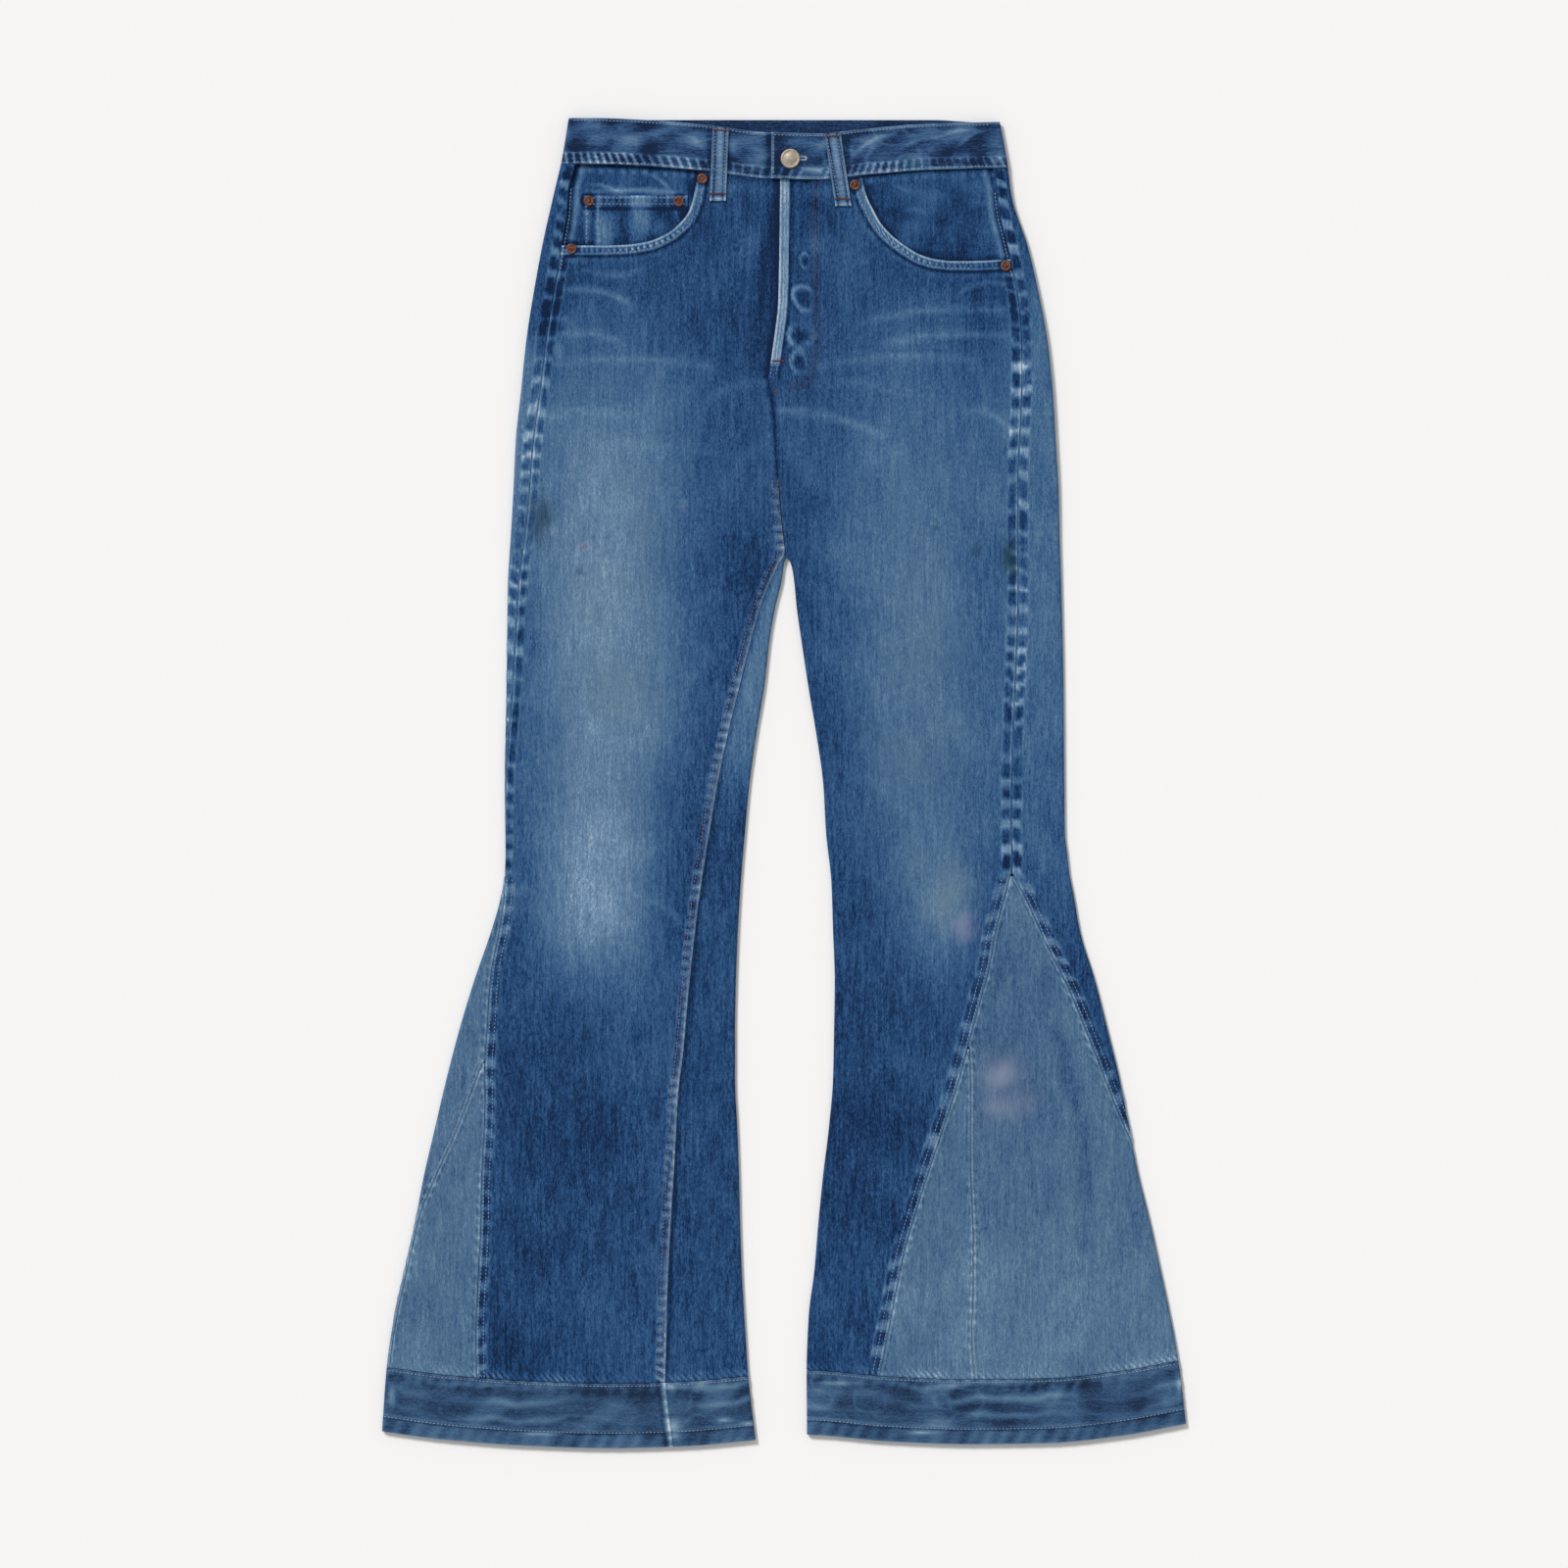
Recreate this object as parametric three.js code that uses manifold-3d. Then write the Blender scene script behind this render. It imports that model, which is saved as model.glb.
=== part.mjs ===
// Flared jeans laid flat on their back, face up.
// Millimetres. The origin is on the floor under the middle of the garment: x runs to the wearer's left,
// y to the waist and z up. Right and left are the wearer's, so the right leg is at negative x.
import * as THREE from 'three';
import { mergeVertices } from 'three/addons/utils/BufferGeometryUtils.js';
import Module from 'manifold-3d';

const wasm = await Module();
wasm.setup();

// Cloth and layers
const CLOTH = 1.2; // one layer of heavy denim with its nap
const WAIST_CLOTH = 2.2; // the folded waistband
const HEM_CLOTH = 1.6; // the hem band, sewn over the leg's end
const LOOP_CLOTH = 1.6; // a belt loop, folded in three
const GAP = 0.3; // air between two layers
const SEAM = 0.15; // half of the air between two panels at a seam
const HEM_GAP = 0.5; // air between a leg's curved end and its hem band

// Levels along the garment
const WAIST_TOP = 575.5;
const WAIST_SEAM = 535.5; // waistband to panels
const FLY_END = 350;
const CROTCH = 272;
const GUSSET_TOP = -80;
const HEM_SEAM = -513.5; // leg to hem band
const HEM_EDGE = -569.5;

// Heights above the floor
const LEG_FRONT = 5.2; // face of the front over the legs
const HIP_BACK = 1.5; // face of the back where it lies on the back pockets
const HIP_FRONT = 7.2; // face of the front over the pocket layers
const WAIST_FRONT = 8.0; // face of the waistband in front
const TAB_FRONT = WAIST_FRONT + GAP + WAIST_CLOTH; // face of the waistband's upper end
const HEM_FRONT = 5.8;
const LIP_RISE = 0.6; // doubled edges of pocket mouth and fly
const SEAM_RISE = 0.6; // felled seams
const SEAM_WIDTH = 9;
const RIDGE_SLOPE = 1.5; // width of a seam ridge's slope down to the cloth
const LIP_WIDTH = 8;

// Waistband ends, pocket and trim sizes
const TAB_END = -11; // free end of the upper layer
const TAB_FLAT = 17; // where it starts to come down
const TAB_DOWN = 32; // where it is level with the rest
const UNDER_END = 15; // free end of the lower layer
const RIVET_RADIUS = 4.5;
const RIVET_HEIGHT = 1.6;
const BUTTON_RADIUS = 8.4;
const BUTTON_HEIGHT = 2.4;
const SHANK_RADIUS = 3;
const SHANK_HOLE = 3.5;
const LOOP_WIDTH = 14;

// Where the thin legs thicken into the hips, where the pocket layers lie
const FRONT_THICKENS = [170, 330];
const BACK_THICKENS = [150, 250];
const FOLDS_END_ABOVE = [330, 240];
const FOLDS_END_BELOW = [-500, -440];
const DIP_SHARED = [130, 178]; // from here outwards the back's waist line follows the front's

const INDIGO = 0x36598f;
const GUSSET_BLUE = 0x5d7f9f;
const HEM_BLUE = 0x4f7296;
const FACING_BLUE = 0x2b4a7d;
const COPPER = 0x9a5f3c;
const PALE_BRASS = 0xb9b09a;

// Outline of each leg. outer and inner are distances from x = 0 towards that leg's own side.
const RIGHT_OUTLINE = {
  y: [576, 540, 510, 468, 425, 383, 340, 298, 255, 213, 170, 85, 0, -60, -78, -94, -128, -170,
    -213, -255, -298, -340, -383, -425, -468, -514, -570],
  outer: [186.5, 192.5, 199.5, 209, 217, 223.5, 228, 232.5, 234.5, 237, 239.5, 240.5, 242, 241.5, 242,
    244.5, 254, 268.5, 281.5, 292.5, 302.5, 312, 320, 329, 338, 344.5, 348.5],
};
const RIGHT_INNER = {
  y: [272, 238, 214, 197, 191, 178, 153, 128, 85, 43, 0, -43, -85, -128, -170, -213, -255, -298, -340,
    -383, -425, -468, -514, -570],
  inner: [5.5, 3.3, 0.6, -1.9, 0, 1.7, 7.6, 12, 17, 24, 30, 34, 37.5, 40, 41.6, 42.5, 42.5, 40.5, 39,
    38, 36.5, 34, 31, 24.6],
};
const LEFT_OUTLINE = {
  y: [576, 540, 510, 468, 425, 383, 340, 298, 255, 213, 170, 85, 0, -43, -60, -78, -94, -128, -170,
    -213, -255, -298, -340, -383, -425, -468, -514, -570],
  outer: [187, 193.5, 197.5, 211, 221, 228.6, 233, 235.5, 238, 239, 240.5, 242.3, 243, 243.5, 245.5,
    247.5, 250.7, 256.7, 269.5, 280.5, 290.7, 299, 307, 317, 325.5, 334, 342, 348.5],
};
const LEFT_INNER = {
  y: [272, 238, 214, 197, 191, 178, 153, 128, 85, 43, 0, -43, -85, -128, -170, -213, -255, -298, -340,
    -383, -425, -468, -514, -570],
  inner: [-5.2, -3, -0.3, 2.2, 6, 8.5, 11, 14.5, 21, 28, 34, 36.5, 41, 42.5, 44, 43.4, 42.5, 39, 34,
    29.8, 26.4, 21.3, 19.6, 20],
};

// Side seams: distance over the cloth from the leg's outer edge, positive on the front
const RIGHT_OUTSEAM = {
  y: [536, 518, 488, 467, 443, 340, 272, 226, 181, 135, 78, 0, -60, -78],
  at: [14, 13.5, 17.7, 18.6, 19.4, 18.4, 16, 14.3, 11.4, 9.2, 6.6, 2, 0.5, 0],
};
const LEFT_OUTSEAM = {
  y: [536, 517, 483, 458, 426, 366, 298, 272, 158, 101, 21, -47, -78],
  at: [15, 13.5, 18, 19.5, 20.3, 26.2, 33, 36, 39.4, 42.8, 46.6, 48.3, 51.7],
};
// Inseams: distance over the cloth from the leg's inner edge, positive on the front
const RIGHT_INSEAM = {
  y: [272, 214, 170, 127, 83, 10, -70, -161, -222, -279, -347, -406, -514],
  at: [0, 0, 11.5, 16.8, 22.7, 28, 34, 40.6, 45, 52, 58.5, 63.5, 73],
};
const LEFT_INSEAM = { y: [272, 170, 85, 0, -78, -255, -514], at: [0, -8, -20, -32, -42, -68, -109] };
// Gussets: where the front seam, the back seam and the seam inside lie from the outer edge
const RIGHT_GUSSET = {
  y: [-80, -117, -153, -210, -242, -279, -370, -514],
  front: [1.5, 7, 12, 25, 31.5, 40.5, 56.5, 80],
  back: [-1.5, -20, -40, -68, -84, -101, -149, -228],
};
const RIGHT_SPLIT = { y: [-242, -297, -343, -383, -514], at: [29.5, 21.5, 11.5, 4, 4] };
const LEFT_GUSSET = {
  y: [-80, -125, -146, -184, -228, -270, -318, -340, -394, -425, -514],
  front: [53.5, 73.5, 83, 103.5, 126.5, 147.7, 173, 184.5, 213.5, 227, 261],
  back: [50, 36.5, 32.5, 25.3, 18.5, 11.7, 0.5, -6, -17, -24, -42],
};
const LEFT_SPLIT = { y: [-230, -290, -361, -425, -500, -514], at: [125.5, 137.5, 150.5, 163, 177.5, 178] };

// Centre line of the front and of the back, from the waist to the crotch
const FRONT_CENTRE = { y: [536, 428, 372, 352, 322, 283, 262], x: [-3.4, -5, -11, -13.6, -9, -6.8, -5.35] };
const BACK_CENTRE = { y: [536, 262], x: [0, -5.35] };

// How far the front waist seam lies above the back one
const WAIST_DIP = {
  x: [-192, -165, -125, -63, -15, 30, 70, 128, 194],
  rise: [1.5, 1.5, 0, -5, -11, -12, -8, -3.5, -1.7],
};
// How far each hem lies above the straight line, across x
const HEM_CURVE = {
  x: [-348, -290, -220, -150, -90, -25, 20, 90, 160, 230, 290, 348],
  rise: [8.5, 1, -4, -6, -4.5, 1, 5.5, 0, -2.5, -1.5, 4.5, 15],
};
const HEM_REACH = 300; // how far up the leg the hem's curve still shows
const WAIST_REACH = 230;

// Largest soft ridges and troughs in the legs' fronts: place, direction, half sizes and height
const FOLDS = [
  { x: -150, y: 60, turn: 80, long: 170, wide: 30, high: 0.7 },
  { x: -215, y: 190, turn: 100, long: 110, wide: 16, high: -0.5 },
  { x: -110, y: -120, turn: 60, long: 90, wide: 24, high: -0.5 },
  { x: -190, y: -300, turn: 94, long: 150, wide: 26, high: 0.8 },
  { x: -270, y: -350, turn: 110, long: 120, wide: 18, high: -0.7 },
  { x: -90, y: -390, turn: 86, long: 110, wide: 20, high: 0.6 },
  { x: 120, y: 40, turn: 100, long: 180, wide: 32, high: 0.7 },
  { x: 75, y: -260, turn: 92, long: 160, wide: 20, high: 0.6 },
  { x: 150, y: -350, turn: 82, long: 130, wide: 24, high: -0.6 },
  { x: 250, y: -300, turn: 68, long: 130, wide: 20, high: 1.0 },
  { x: 215, y: -420, turn: 84, long: 90, wide: 18, high: -0.6 },
  { x: 60, y: 190, turn: 115, long: 80, wide: 22, high: -0.5 },
];

// Rows of the panels' grids
const HIP_ROWS = [WAIST_SEAM - SEAM, 500, 464, 428, 400, 372, 352, 322, 298, CROTCH];
const CROTCH_ROWS = [262, 238, 214, 197, 191, 178, 153, 128];
const KNEE_ROWS = [90, 50, 10, -30, -56, GUSSET_TOP + 2];
const LEG_ROWS = [...HIP_ROWS, ...CROTCH_ROWS, ...KNEE_ROWS];
const FLARE_STEP = 36;
const ROUNDING_STEP = 9;

// Smooth curve through a table's points, with no overshoot; the table's first column may fall or rise
function through(keys, values, at) {
  const flip = keys[0] > keys[keys.length - 1] ? -1 : 1;
  const key = (i) => flip * keys[i];
  const place = Math.min(Math.max(flip * at, key(0)), key(keys.length - 1));
  let i = 0;
  while (i < keys.length - 2 && place > key(i + 1)) i += 1;
  const slope = (j) => (values[j + 1] - values[j]) / (key(j + 1) - key(j));
  const tangent = (j) => {
    if (j === 0) return slope(0);
    if (j === keys.length - 1) return slope(j - 1);
    const before = slope(j - 1);
    const after = slope(j);
    return before * after <= 0 ? 0 : (2 * before * after) / (before + after);
  };
  const span = key(i + 1) - key(i);
  const t = (place - key(i)) / span;
  const eased = t * t * (3 - 2 * t);
  const lead = t * (1 - t) * (1 - t) * span * tangent(i);
  const trail = t * t * (1 - t) * span * tangent(i + 1);
  return values[i] * (1 - eased) + values[i + 1] * eased + lead - trail;
}

function ease(from, to, at) {
  const t = Math.min(Math.max((at - from) / (to - from), 0), 1);
  return t * t * (3 - 2 * t);
}

const aboveCrotch = (y) => y > CROTCH - 5;
const aboveGusset = (y) => y > GUSSET_TOP + 1;
const HIP_INNER = -60; // the hips' tubes reach past the centre line, where the other side's panels end

const frontHeight = (y) => LEG_FRONT + (HIP_FRONT - LEG_FRONT) * ease(...FRONT_THICKENS, y);
const backHeight = (y) => HIP_BACK * ease(...BACK_THICKENS, y);

function foldHeight(x, y) {
  let high = 0;
  for (const fold of FOLDS) {
    const turn = THREE.MathUtils.degToRad(fold.turn);
    const along = (x - fold.x) * Math.cos(turn) + (y - fold.y) * Math.sin(turn);
    const across = -(x - fold.x) * Math.sin(turn) + (y - fold.y) * Math.cos(turn);
    high += fold.high * Math.exp(-((along / fold.long) ** 2) - (across / fold.wide) ** 2);
  }
  return high * ease(...FOLDS_END_ABOVE, y) * ease(...FOLDS_END_BELOW, y);
}

// The waist line dips in front and the hems curve; front is 1 on the front and 0 on the back
function curvedY(x, y, front) {
  const share = Math.max(front, ease(...DIP_SHARED, Math.abs(x)));
  const waist = through(WAIST_DIP.x, WAIST_DIP.rise, x) * share * ease(WAIST_SEAM - WAIST_REACH, WAIST_SEAM, y);
  const hem = through(HEM_CURVE.x, HEM_CURVE.rise, x) * ease(HEM_SEAM + HEM_REACH, HEM_SEAM, y);
  return y + waist + hem;
}

const waistSeamAt = (x) => curvedY(x, WAIST_SEAM, 1);

const LEGS = {
  right: {
    sign: -1,
    outer: (y) => through(RIGHT_OUTLINE.y, RIGHT_OUTLINE.outer, y),
    inner: (y) => through(RIGHT_INNER.y, RIGHT_INNER.inner, y),
    outseam: (y) => through(RIGHT_OUTSEAM.y, RIGHT_OUTSEAM.at, y),
    inseam: (y) => through(RIGHT_INSEAM.y, RIGHT_INSEAM.at, y),
    gussetFront: (y) => through(RIGHT_GUSSET.y, RIGHT_GUSSET.front, y),
    gussetBack: (y) => through(RIGHT_GUSSET.y, RIGHT_GUSSET.back, y),
    split: (y) => through(RIGHT_SPLIT.y, RIGHT_SPLIT.at, y),
    splitTop: RIGHT_SPLIT.y[0],
    rounding: [GUSSET_TOP, -125],
    hemJoin: 73,
  },
  left: {
    sign: 1,
    outer: (y) => through(LEFT_OUTLINE.y, LEFT_OUTLINE.outer, y),
    inner: (y) => through(LEFT_INNER.y, LEFT_INNER.inner, y),
    outseam: (y) => through(LEFT_OUTSEAM.y, LEFT_OUTSEAM.at, y),
    inseam: (y) => through(LEFT_INSEAM.y, LEFT_INSEAM.at, y),
    gussetFront: (y) => through(LEFT_GUSSET.y, LEFT_GUSSET.front, y),
    gussetBack: (y) => through(LEFT_GUSSET.y, LEFT_GUSSET.back, y),
    split: (y) => through(LEFT_SPLIT.y, LEFT_SPLIT.at, y),
    splitTop: LEFT_SPLIT.y[0],
    rounding: [-272, -353],
    hemJoin: -109,
  },
};

// Section of one flattened tube at a level: two flat runs and a rolled edge at each end
function section(leg, y, heights) {
  const top = heights.front(y);
  const base = heights.back(y);
  const radius = (top - base) / 2;
  const quarter = (Math.PI / 2) * radius;
  const outer = leg.outer(y);
  const inner = aboveCrotch(y) ? HIP_INNER : leg.inner(y);
  const flat = outer - inner - 2 * radius;
  return { y, top, base, radius, quarter, outer, inner, flat, length: 2 * flat + 4 * quarter };
}

const PANEL = { front: frontHeight, back: backHeight };
const HEM_BAND = { front: () => HEM_FRONT, back: () => 0 };
const FOLD_FADE = 18;

// Point of the outer face and its outward direction, at a distance over the cloth from the outer edge
function pointOn(leg, cut, distance) {
  let s = distance;
  if (s > cut.length / 2) s -= cut.length;
  if (s < -cut.length / 2) s += cut.length;
  const face = s < 0 ? -1 : 1;
  const d = Math.abs(s);
  const middle = (cut.top + cut.base) / 2;
  let out;
  let z;
  let towards;
  let up;
  if (d < cut.quarter) {
    const turn = s / cut.radius;
    towards = Math.cos(turn);
    up = Math.sin(turn);
    out = cut.outer - cut.radius + cut.radius * towards;
    z = middle + cut.radius * up;
  } else if (d > cut.quarter + cut.flat) {
    const turn = (d - cut.quarter - cut.flat) / cut.radius;
    towards = -Math.sin(turn);
    up = face * Math.cos(turn);
    out = cut.inner + cut.radius + cut.radius * towards;
    z = middle + cut.radius * up;
  } else {
    const run = d - cut.quarter;
    towards = 0;
    up = face;
    out = cut.outer - cut.radius - run;
    z = middle + cut.radius * up;
    if (face > 0) {
      const fade = ease(0, FOLD_FADE, run) * ease(0, FOLD_FADE, cut.flat - run);
      z += foldHeight(leg.sign * out, cut.y) * fade;
    }
  }
  const x = leg.sign * out;
  const front = (1 + up) / 2;
  return { x, y: curvedY(x, cut.y, front), z, nx: leg.sign * towards, nz: up };
}

// Columns lie closer together round a rolled edge, as if it were this much longer
const ROLL_WEIGHT = 95;

function weighed(cut, s) {
  const rollPart = (middle) => {
    const t = (s - middle + cut.quarter) / (2 * cut.quarter);
    return ROLL_WEIGHT * Math.min(Math.max(t, 0), 1);
  };
  return s + rollPart(0) + rollPart(cut.length / 2) + rollPart(-cut.length / 2);
}

function spread(cut, low, high, count) {
  const start = weighed(cut, low);
  const end = weighed(cut, high);
  const places = [];
  for (let i = 0; i <= count; i += 1) {
    const goal = start + ((end - start) * i) / count;
    let a = low;
    let b = high;
    for (let k = 0; k < 40; k += 1) {
      const half = (a + b) / 2;
      if (weighed(cut, half) < goal) a = half;
      else b = half;
    }
    places.push((a + b) / 2);
  }
  return places;
}

// Closed solid from an outer and an inner grid of points, rows by columns
function shell(outerGrid, innerGrid) {
  const rows = outerGrid.length;
  const columns = outerGrid[0].length;
  const points = [];
  for (const grid of [outerGrid, innerGrid]) {
    for (const row of grid) {
      for (const p of row) points.push(p[0], p[1], p[2]);
    }
  }
  const outer = (r, c) => r * columns + c;
  const inner = (r, c) => rows * columns + r * columns + c;
  const index = [];
  const quad = (a, b, c, d) => index.push(a, b, c, a, c, d);
  for (let r = 0; r < rows - 1; r += 1) {
    for (let c = 0; c < columns - 1; c += 1) {
      quad(outer(r, c), outer(r + 1, c), outer(r + 1, c + 1), outer(r, c + 1));
      quad(inner(r, c), inner(r, c + 1), inner(r + 1, c + 1), inner(r + 1, c));
    }
    quad(outer(r, 0), inner(r, 0), inner(r + 1, 0), outer(r + 1, 0));
    quad(outer(r, columns - 1), outer(r + 1, columns - 1), inner(r + 1, columns - 1), inner(r, columns - 1));
  }
  for (let c = 0; c < columns - 1; c += 1) {
    quad(outer(0, c), outer(0, c + 1), inner(0, c + 1), inner(0, c));
    quad(outer(rows - 1, c), inner(rows - 1, c), inner(rows - 1, c + 1), outer(rows - 1, c + 1));
  }
  const geometry = new THREE.BufferGeometry();
  geometry.setAttribute('position', new THREE.BufferAttribute(new Float32Array(points), 3));
  geometry.setIndex(index);
  return faceOut(geometry);
}

function signedVolume(geometry) {
  const p = geometry.getAttribute('position');
  const index = geometry.getIndex().array;
  const a = new THREE.Vector3();
  const b = new THREE.Vector3();
  const c = new THREE.Vector3();
  let sum = 0;
  for (let i = 0; i < index.length; i += 3) {
    a.fromBufferAttribute(p, index[i]);
    b.fromBufferAttribute(p, index[i + 1]);
    c.fromBufferAttribute(p, index[i + 2]);
    sum += a.dot(b.cross(c));
  }
  return sum / 6;
}

function faceOut(geometry) {
  if (signedVolume(geometry) < 0) {
    const index = geometry.getIndex();
    for (let i = 0; i < index.count; i += 3) {
      const second = index.getX(i + 1);
      index.setX(i + 1, index.getX(i + 2));
      index.setX(i + 2, second);
    }
  }
  geometry.computeVertexNormals();
  return geometry;
}

function toManifold(geometry) {
  const bare = geometry.clone();
  bare.deleteAttribute('normal');
  bare.deleteAttribute('uv');
  const merged = mergeVertices(bare, 1e-4);
  return new wasm.Manifold(new wasm.Mesh({
    numProp: 3,
    vertProperties: new Float32Array(merged.getAttribute('position').array),
    triVerts: new Uint32Array(merged.getIndex().array),
  }));
}

function fromManifold(solid) {
  const mesh = solid.getMesh();
  const geometry = new THREE.BufferGeometry();
  geometry.setAttribute('position', new THREE.BufferAttribute(new Float32Array(mesh.vertProperties), 3));
  geometry.setIndex([...mesh.triVerts]);
  geometry.computeVertexNormals();
  return geometry;
}

// A cloth panel. rows are its levels; level gives a row's true level at each share across the panel.
// low and high are its edges over the cloth, and rise lifts the cloth beside an edge, as a felled seam does.
function panel(leg, options) {
  const { rows, low, high, columns, heights = PANEL, cloth = CLOTH, rise = {} } = options;
  const level = options.level ?? ((row) => row);
  const ridge = (edge) => (rise[edge] ? [0, SEAM_WIDTH - RIDGE_SLOPE, SEAM_WIDTH] : [0]);
  const roomy = 3 * SEAM_WIDTH; // a panel narrower than this has narrower ridges
  const lowSet = ridge('low');
  const highSet = ridge('high').reverse();
  const total = lowSet.length + highSet.length + columns - 1;
  const outerGrid = [];
  const innerGrid = [];
  for (const row of rows) {
    const outerRow = [];
    const innerRow = [];
    for (let c = 0; c < total; c += 1) {
      const y = level(row, c / (total - 1));
      const cut = section(leg, y, heights);
      const from = low(y, cut);
      const to = high(y, cut);
      const squeeze = Math.min(1, (to - from) / roomy);
      let s;
      let lift = 0;
      if (c < lowSet.length) {
        s = from + lowSet[c] * squeeze;
        if (rise.low?.(y) && c < lowSet.length - 1) lift = SEAM_RISE * squeeze;
      } else if (c >= total - highSet.length) {
        const k = c - (total - highSet.length);
        s = to - highSet[k] * squeeze;
        if (rise.high?.(y) && k > 0) lift = SEAM_RISE * squeeze;
      } else {
        const inside = spread(cut, from + lowSet.at(-1) * squeeze, to - highSet[0] * squeeze, columns);
        s = inside[c - lowSet.length + 1];
      }
      const p = pointOn(leg, cut, s);
      const out = p.nz > 0.9 ? lift : 0;
      outerRow.push([p.x + p.nx * out, p.y, p.z + p.nz * out]);
      innerRow.push([p.x - p.nx * cloth, p.y, p.z - p.nz * cloth]);
    }
    outerGrid.push(outerRow);
    innerGrid.push(innerRow);
  }
  return shell(outerGrid, innerGrid);
}

// Level plate from an outline of [x, y] points, from one height up to another
function plate(outline, low, high) {
  const shape = new THREE.Shape(outline.map(([x, y]) => new THREE.Vector2(x, y)));
  const geometry = new THREE.ExtrudeGeometry(shape, { depth: high - low, bevelEnabled: false });
  geometry.translate(0, 0, low);
  return geometry;
}

const group = new THREE.Group();

function place(name, geometry, color, metalness = 0, roughness = 0.9) {
  const material = new THREE.MeshStandardMaterial({ color, metalness, roughness });
  const mesh = new THREE.Mesh(geometry, material);
  mesh.name = name;
  group.add(mesh);
  return mesh;
}

const centreOnFront = (leg, y, cut) => (
  cut.quarter + cut.outer - cut.radius - leg.sign * through(FRONT_CENTRE.y, FRONT_CENTRE.x, y)
);
const centreOnBack = (leg, y, cut) => (
  cut.quarter + cut.outer - cut.radius - leg.sign * through(BACK_CENTRE.y, BACK_CENTRE.x, y)
);

function evenly(from, to, step) {
  const count = Math.round(Math.abs(to - from) / step);
  return Array.from({ length: count + 1 }, (_, i) => from + ((to - from) * i) / count);
}

// Levels from the gusset's tip to the hem: closer where a seam runs round the leg's outer edge,
// with a step where the seam inside the gusset starts
function flareRows(leg) {
  const rows = [
    ...evenly(GUSSET_TOP, leg.splitTop + 2, FLARE_STEP),
    ...evenly(leg.splitTop, HEM_SEAM + SEAM, FLARE_STEP),
  ];
  const [from, to] = leg.rounding;
  const apart = rows.filter((y) => y > from + 1 || y < to - 1);
  return [...apart, ...evenly(from, to, ROUNDING_STEP)].sort((a, b) => b - a);
}

// Pocket mouths: the free edge of the front panel, from the waist seam to the side seam
const RIGHT_MOUTH = [
  [-76.5, 520], [-78.5, 508], [-82, 497], [-90, 486], [-103, 476], [-120, 469.5], [-140, 467],
  [-158, 466.5], [-192, 466.5],
];
const LEFT_MOUTH = [
  [69.3, 517], [72, 508], [76.5, 499], [83, 487], [92, 476.5], [104, 467], [118, 458.5], [132, 454.5],
  [148, 453], [162, 453], [200, 455],
];

// Line beside an outline, moved out to its right-hand side as seen along it
function beside(line, distance) {
  return line.map((p, i) => {
    const a = line[Math.max(i - 1, 0)];
    const b = line[Math.min(i + 1, line.length - 1)];
    const dx = b[0] - a[0];
    const dy = b[1] - a[1];
    const long = Math.hypot(dx, dy);
    return [p[0] + (dy / long) * distance, p[1] - (dx / long) * distance];
  });
}

const CUT_SPARE = 20; // the cut runs this far above the waist seam
const CUT_REACH = 230; // and out past the side seam

function mouthCut(mouth, side) {
  const top = WAIST_SEAM + CUT_SPARE;
  const far = side * CUT_REACH;
  const last = mouth[mouth.length - 1];
  const outline = [[mouth[0][0] - side * 2, top], ...mouth, [far, last[1]], [far, top]];
  return plate(outline, HIP_FRONT - CLOTH - GAP / 2, HIP_FRONT + 2 * CLOTH);
}

const LIP_INSET = 0.2; // the doubled part starts just inside the mouth's edge
const FLY_INSET = 0.6;

// Doubled edge: a low strip on the front panel, along its free edge and 8 mm wide
function lip(line, distance, inset) {
  const near = beside(line, inset);
  const far = beside(line, distance);
  return plate([...near, ...far.reverse()], HIP_FRONT - CLOTH / 2, HIP_FRONT + LIP_RISE);
}

const frontLow = (leg) => (y) => (aboveGusset(y) ? leg.outseam(y) : leg.gussetFront(y)) + SEAM;
const frontHigh = (leg) => (y, cut) => (
  aboveCrotch(y) ? centreOnFront(leg, y, cut) - SEAM : cut.length / 2 - leg.inseam(y) - SEAM
);
const backLow = (leg) => (y, cut) => (
  aboveCrotch(y) ? SEAM - centreOnBack(leg, y, cut) : SEAM - cut.length / 2 - leg.inseam(y)
);
const backHigh = (leg) => (y) => (aboveGusset(y) ? leg.outseam(y) : leg.gussetBack(y)) - SEAM;

// Back yoke: its lower seam runs from the centre back up to the side seam
const YOKE_SIDE = 524.5;
const YOKE_CENTRE = 474;
const YOKE_KEEP = 400; // the back panel's rows are level from here down
const yokeSeam = (share) => YOKE_CENTRE + (YOKE_SIDE - YOKE_CENTRE) * share;

function backLevel(row, share) {
  if (row <= YOKE_KEEP) return row;
  const stretch = (yokeSeam(share) - SEAM - YOKE_KEEP) / (HIP_ROWS[0] - YOKE_KEEP);
  return YOKE_KEEP + (row - YOKE_KEEP) * stretch;
}

function yokeLevel(row, share) {
  const bottom = yokeSeam(share) + SEAM;
  return bottom + (WAIST_SEAM - SEAM - bottom) * row;
}

const flyEdge = (y) => through(FRONT_CENTRE.y, FRONT_CENTRE.x, y);
const FLY_LINE = [WAIST_SEAM - 2, 500, 464, 428, 400, 372, FLY_END + 2].map((y) => (
  [flyEdge(y), curvedY(flyEdge(y), y, 1)]
));
const always = () => true;
const belowCrotch = (y) => y < CROTCH;

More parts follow.
